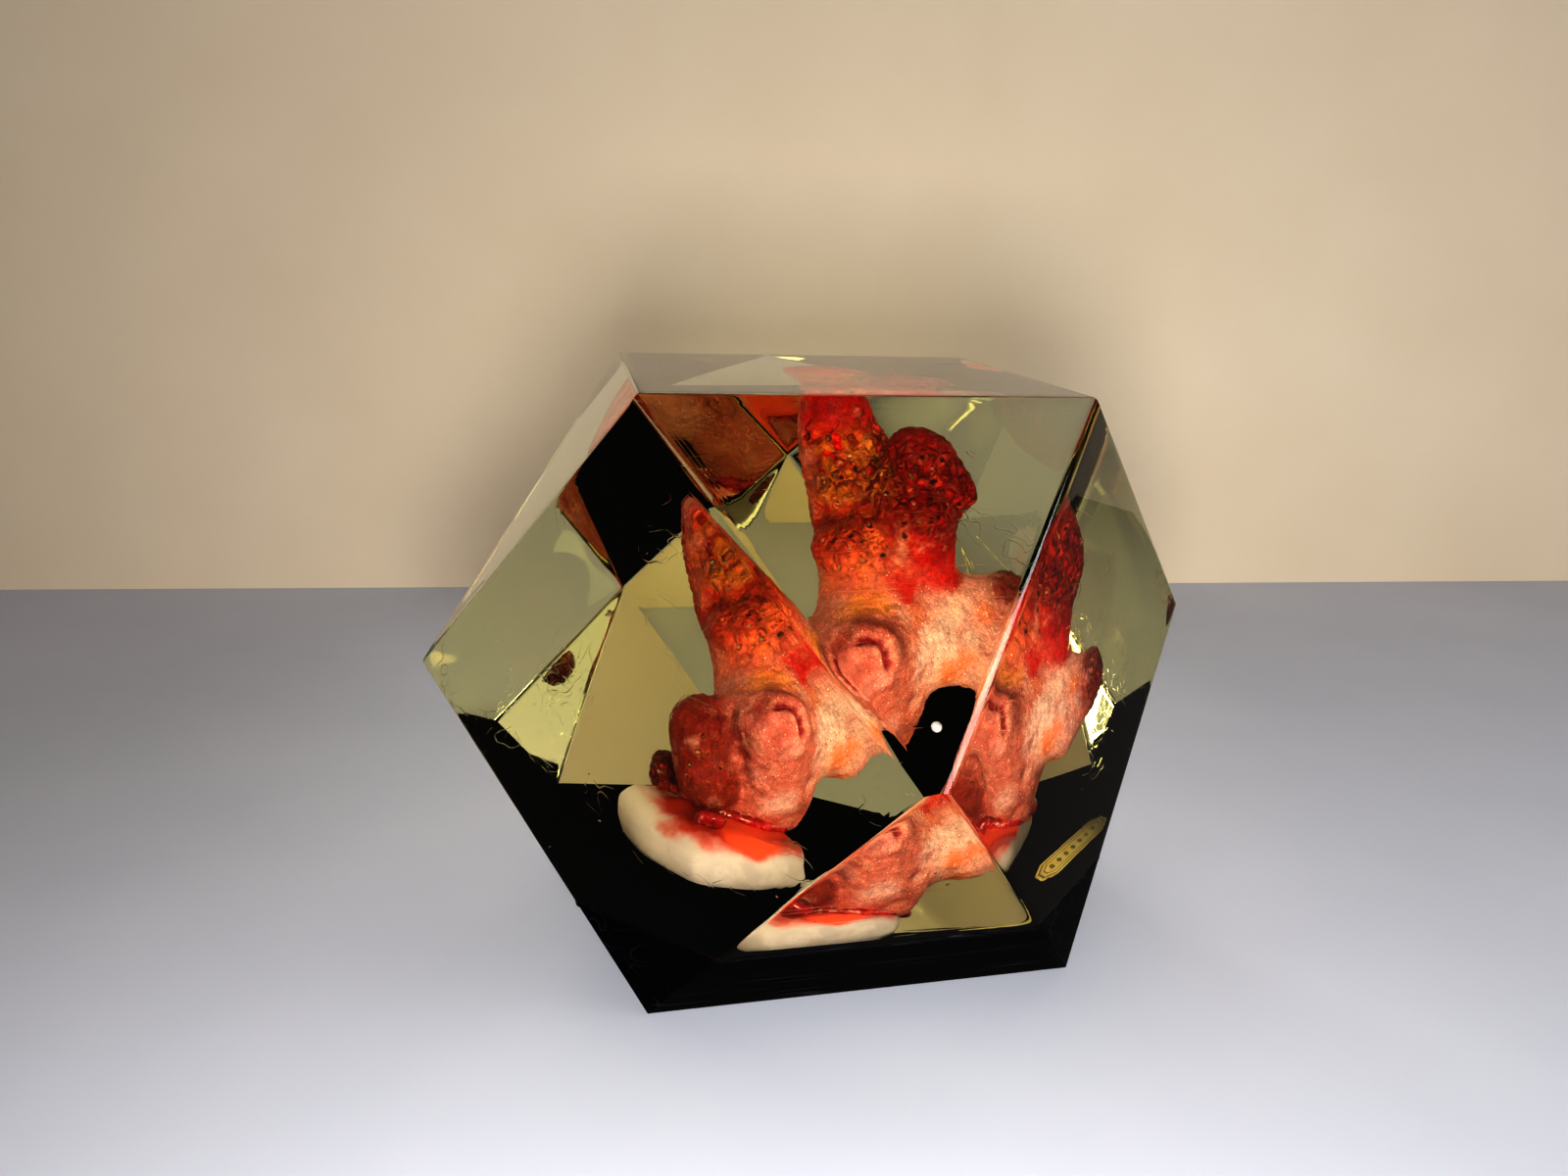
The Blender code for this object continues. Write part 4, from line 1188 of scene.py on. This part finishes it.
def makeBead():
    x, y, z, radius = flaws["bead"]
    bpy.ops.object.select_all(action="DESELECT")
    bpy.ops.mesh.primitive_uv_sphere_add(
        segments=32, ring_count=16, radius=radius * mm, location=spot(x, y, z))
    bpy.ops.object.shade_smooth()
    return joined([bpy.context.active_object], "pale_bead")


def makeHairs():
    hairs = []
    for start, end in flaws["hairs"]:
        run = spot(*end) - spot(*start)
        turn = run.to_track_quat("Z", "Y").to_euler()
        bpy.ops.object.select_all(action="DESELECT")
        bpy.ops.mesh.primitive_cylinder_add(
            vertices=6, radius=flaws["hairRadius"] * mm, depth=run.length,
            location=spot(*start) + run / 2, rotation=turn)
        hairs.append(bpy.context.active_object)
    return joined(hairs, "fine_hairs")


def pearlMaterial():
    material, tree, shader, place = newMaterial("pearl")
    cloudy = noiseAt(tree, place, 1500.0, 3.0)
    wire(tree, shader, {
        "Base Color": clouded(tree, cloudy, *flaws["pearl"]),
        "Roughness": ramp(tree, cloudy, 0.3, 0.7, 0.2, 0.4),
        "Subsurface Weight": 0.3,
        "Subsurface Scale": flaws["softness"] * mm,
    })
    return material


def hairMaterial():
    material, tree, shader, place = newMaterial("paleHair")
    streaks = noiseAt(tree, place, 700.0)
    wire(tree, shader, {
        "Base Color": clouded(tree, streaks, *flaws["hair"], 0.4, 0.6),
        "Roughness": ramp(tree, streaks, 0.3, 0.7, 0.25, 0.5),
    })
    return material


beadPiece = finished(makeBead(), pearlMaterial())
hairPiece = finished(makeHairs(), hairMaterial())
print("flaws set:", len(flaws["hairs"]), "hairs and a bead")


# the label: gold foil with two plain borders and a row of plain dots, slightly rippled, with painted
# shade darker towards its right end

label = {
    "size": (18.6, 8.6),
    "angle": 41.0,
    "corner": 2.6,
    "grid": (200, 108),
    "borders": ((0.8, 0.45), (1.9, 0.3)),  # inset and soft width of each line
    "dotSpacing": 1.9,
    "dotRadius": (0.62, 1.5),
    "dotRow": 13.4,
    "thickness": 0.05,
    "ripple": 0.06,
    "rippleSpacing": 2.6,
    "pressed": 0.03,
    "wornRim": 0.35,
    "gold": ((250, 214, 96), (255, 246, 170)),
    "inLines": (60, 44, 10),
    "shadeToRight": (84, 72, 32),
    "worn": (70, 52, 20),
    "relief": 0.1,
}


def clipCorners(length, width):
    # in edit mode: cuts the four corners off at 45 degrees
    for sideX in (-1, 1):
        for sideY in (-1, 1):
            corner = Vector((sideX * length / 2, sideY * width / 2, 0)) * mm
            inward = Vector((-sideX, -sideY, 0)).normalized()
            cut = corner + inward * label["corner"] * 0.7 * mm
            bpy.ops.mesh.select_all(action="SELECT")
            bpy.ops.mesh.bisect(plane_co=cut, plane_no=-inward, clear_outer=True, threshold=1e-7)


def pressLabel(piece, length, width):
    # presses the lines and dots in, ripples the foil and keeps the masks of its finish and of its painted
    # shade
    flat = np.zeros(len(piece.data.vertices) * 3, np.float32)
    piece.data.vertices.foreach_get("co", flat)
    places = flat.reshape(-1, 3) / mm
    along, across = places[:, 0], places[:, 1]
    edge = np.minimum(length / 2 - abs(along), width / 2 - abs(across))
    clipped = (length / 2 + width / 2 - label["corner"] - abs(along) - abs(across)) / math.sqrt(2)
    edge = np.minimum(edge, clipped)
    groove = np.zeros(len(places))
    for inset, line in label["borders"]:
        groove = np.maximum(groove, fade(abs(edge - inset), line))
    step = along - np.round(along / label["dotSpacing"]) * label["dotSpacing"]
    dot = fade(np.hypot(step / label["dotRadius"][0], across / label["dotRadius"][1]), 1.0)
    groove = np.maximum(groove, np.clip(3 * dot, 0, 1) * (abs(along) < label["dotRow"] / 2))
    ripple = noiseField(places * np.array((1, 1, 0)), label["rippleSpacing"]) * label["ripple"]
    places[:, 2] = ripple - groove * label["pressed"]
    piece.data.vertices.foreach_set("co", (places * mm).astype(np.float32).ravel())
    keepMask(piece, "groove", groove)
    keepMask(piece, "edge", np.clip(edge / label["wornRim"], 0, 1))
    # painted shade, darker towards the right end and a little uneven with the ripple
    keepMask(piece, "shadeToRight", np.clip(along / length + 0.5 + 1.2 * ripple, 0, 1))


def makeLabel():
    length, width = label["size"]
    columns, rows = label["grid"]
    bpy.ops.object.select_all(action="DESELECT")
    bpy.ops.mesh.primitive_grid_add(
        x_subdivisions=columns, y_subdivisions=rows, size=1, location=(0, 0, 0))
    piece = named("foil_label")
    piece.scale = (length * mm, width * mm, 1)
    bpy.ops.object.transform_apply(scale=True)
    bpy.ops.object.mode_set(mode="EDIT")
    clipCorners(length, width)
    bpy.ops.object.mode_set(mode="OBJECT")
    pressLabel(piece, length, width)
    modify(piece, "SOLIDIFY", thickness=label["thickness"] * mm, offset=0)
    piece.rotation_euler = (0, 0, math.radians(label["angle"]))
    piece.location = spot(*labelCentre, 0)
    piece.location.z = (labelLow.z + labelHigh.z) / 2
    only(piece)
    bpy.ops.object.transform_apply(location=True, rotation=True, scale=True)
    bpy.ops.object.shade_smooth_by_angle(angle=math.radians(40))
    return piece


def foilMaterial():
    material, tree, shader, place = newMaterial("goldFoil")
    groove, edge, shadeToRight = (attribute(tree, name)["Fac"] for name in ("groove", "edge", "shadeToRight"))
    crumple = noiseAt(tree, place, 420.0, 4.0, 0.65)
    tone = clouded(tree, crumple, *label["gold"], 0.3, 0.7)
    tone = tinted(tree, tone, label["inLines"], ramp(tree, groove, 0.2, 0.8, 0.0, 0.85))
    # painted shade towards the right end
    tone = tinted(tree, tone, label["shadeToRight"], ramp(tree, shadeToRight, 0.25, 0.95, 0.0, 0.85))
    patchy = ramp(tree, noiseAt(tree, place, 900.0), 0.48, 0.62)
    wire(tree, shader, {
        "Base Color": tinted(tree, tone, label["worn"], maths(tree, "SUBTRACT", 1.0, edge), patchy),
        "Metallic": 0.35,
        "Roughness": ramp(tree, crumple, 0.3, 0.7, 0.3, 0.5),
        "Normal": bumped(tree, crumple, 0.6, label["relief"] * mm),
    })
    return material


labelPiece = finished(makeLabel(), foilMaterial())
print("label laid")


# the stage: a pale floor, a plain wall, the camera at the photo's angle, and soft lights all round

stage = {
    "cameraAt": (-26.45, -134.74, 76.73),
    "yaw": 0.1637,
    "pitch": -0.2714,
    "roll": -0.0058,
    "lens": 28.13,
    "wallBehind": 141.0,
    "wallHeight": 900.0,
    "floorReach": 900.0,
    "floorDrop": 0.05,
    "floorTones": ((194, 198, 210), (205, 208, 218)),
    "wallTones": ((228, 210, 183), (238, 222, 197)),
    "dimTone": (160, 155, 148),
    "dimStrength": 0.2,
    "brightSide": (0.0, -0.966, 0.259),
    "brightTone": (0.66, 0.67, 0.82, 1),
}

lamps = {
    "besideCamera": {
        "place": (-27, -154, 54), "aim": (2, 0, 26),
        "size": 32, "watts": 0.3, "tone": (1.0, 0.97, 0.94)},
    "rightSide": {
        "place": (232, -135, 83), "aim": (18, -30, 28),
        "size": 110, "watts": 0.18, "tone": (0.95, 0.98, 1.0)},
    "behindWall": {
        "place": (-50, 230, 120), "aim": (2, 4, 28),
        "size": 90, "watts": 0.018, "tone": (1.0, 0.98, 0.95), "spread": 40},
    "overhead": {
        "place": (30, 110, 420), "aim": (0, 0, 20),
        "size": 300, "watts": 0.2, "tone": (1.0, 0.99, 0.97)},
}


def makeCamera():
    bpy.ops.object.camera_add(location=spot(*stage["cameraAt"]))
    camera = bpy.context.active_object
    camera.name = "photoCamera"
    level = Vector((math.sin(stage["yaw"]), math.cos(stage["yaw"]), 0))
    forward = level * math.cos(stage["pitch"]) + Vector((0, 0, math.sin(stage["pitch"])))
    camera.rotation_mode = "QUATERNION"
    camera.rotation_quaternion = Quaternion(forward, -stage["roll"]) @ forward.to_track_quat("-Z", "Y")
    camera.data.lens = stage["lens"]
    camera.data.sensor_width = 36.0
    camera.data.clip_start = 0.005
    bpy.context.scene.camera = camera


def plainMatte(name, tones, seenFromBehind=True):
    # a matte finish with faint clouding; the wall's back lets other cameras look in
    material, tree, shader, place = newMaterial(name)
    low, high = tones
    wire(tree, shader, {
        "Base Color": mixed(tree, noiseAt(tree, place, 30.0, 3.0), paint(*low), paint(*high)),
        "Roughness": 0.9,
        "Specular IOR Level": 0.1,
    })
    if not seenFromBehind:
        behind = node(tree, "NewGeometry").outputs["Backfacing"]
        through = node(tree, "BsdfTransparent")
        surface = node(tree, "MixShader", {0: behind, 1: shader.outputs[0], 2: through.outputs[0]})
        wire(tree, tree.nodes["Material Output"], {"Surface": surface.outputs[0]})
    return material


def makeFloor():
    bpy.ops.object.select_all(action="DESELECT")
    size = 2 * stage["floorReach"] * mm
    bpy.ops.mesh.primitive_plane_add(size=size, location=spot(0, 0, -stage["floorDrop"]))
    floor = named("floor")
    bpy.ops.object.transform_apply(location=True, scale=True)
    floor.data.materials.append(plainMatte("paleFloor", stage["floorTones"]))
    floor.visible_glossy = False  # the block's outer faces mirror something dark and not the pale floor
    return floor


def makeWall():
    bpy.ops.object.select_all(action="DESELECT")
    bpy.ops.mesh.primitive_plane_add(size=1, location=(0, 0, 0), rotation=(math.pi / 2, 0, 0))
    wall = named("backWall")
    wall.scale = (2 * stage["floorReach"] * mm, stage["wallHeight"] * mm, 1)
    bpy.ops.object.transform_apply(rotation=True, scale=True)
    wall.rotation_euler = (0, 0, -stage["yaw"])
    behind = Vector((math.sin(stage["yaw"]), math.cos(stage["yaw"]), 0)) * stage["wallBehind"] * mm
    wall.location = behind + Vector((0, 0, stage["wallHeight"] / 2 * mm))
    bpy.ops.object.transform_apply(location=True, rotation=True)
    wall.data.materials.append(plainMatte("beigeWall", stage["wallTones"], seenFromBehind=False))
    wall.visible_shadow = False
    return wall


def softLight(name, place, aim, size, watts, tone, spread=180):
    bpy.ops.object.light_add(type="AREA", location=spot(*place))
    lamp = bpy.context.active_object
    lamp.name = name
    lamp.data.shape = "SQUARE"
    lamp.data.size = size * mm
    lamp.data.energy = watts
    lamp.data.color = tone
    lamp.data.spread = math.radians(spread)
    toward = spot(*aim) - lamp.location
    lamp.rotation_mode = "QUATERNION"
    lamp.rotation_quaternion = toward.to_track_quat("-Z", "Y")


def makeWorld():
    # dim even light from all round, brighter around one direction
    world = bpy.data.worlds.new("softSurround")
    world.use_nodes = True
    tree = world.node_tree
    direction = node(tree, "TexCoord").outputs["Generated"]
    ins = {0: direction, 1: stage["brightSide"]}
    toward = node(tree, "VectorMath", ins, operation="DOT_PRODUCT").outputs["Value"]
    dim = tuple(stage["dimStrength"] * part for part in paint(*stage["dimTone"])[:3]) + (1,)
    colour = mixed(tree, ramp(tree, toward, 0.93, 1.0), dim, stage["brightTone"])
    wire(tree, tree.nodes["Background"], {"Color": colour})
    bpy.context.scene.world = world


makeCamera()
floorPiece = makeFloor()
wallPiece = makeWall()
for name, lamp in lamps.items():
    softLight(name, **lamp)
makeWorld()
bpy.context.scene.view_settings.view_transform = "Standard"
bpy.context.scene.view_settings.look = "High Contrast"

for piece in (clearBlock, blackLayer, coralPiece, footPiece, gluePiece, beadPiece, hairPiece, labelPiece):
    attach(piece, "root")
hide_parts("clear_resin_front", "clear_resin_back")
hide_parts("black_resin_base")
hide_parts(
    "coral_trunk", "coral_tall_branch", "coral_knobbed_branch", "coral_right_arm",
    "coral_left_knob")
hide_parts("white_foot")
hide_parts("red_glue_pad")
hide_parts("gold_label")

print("scene made")
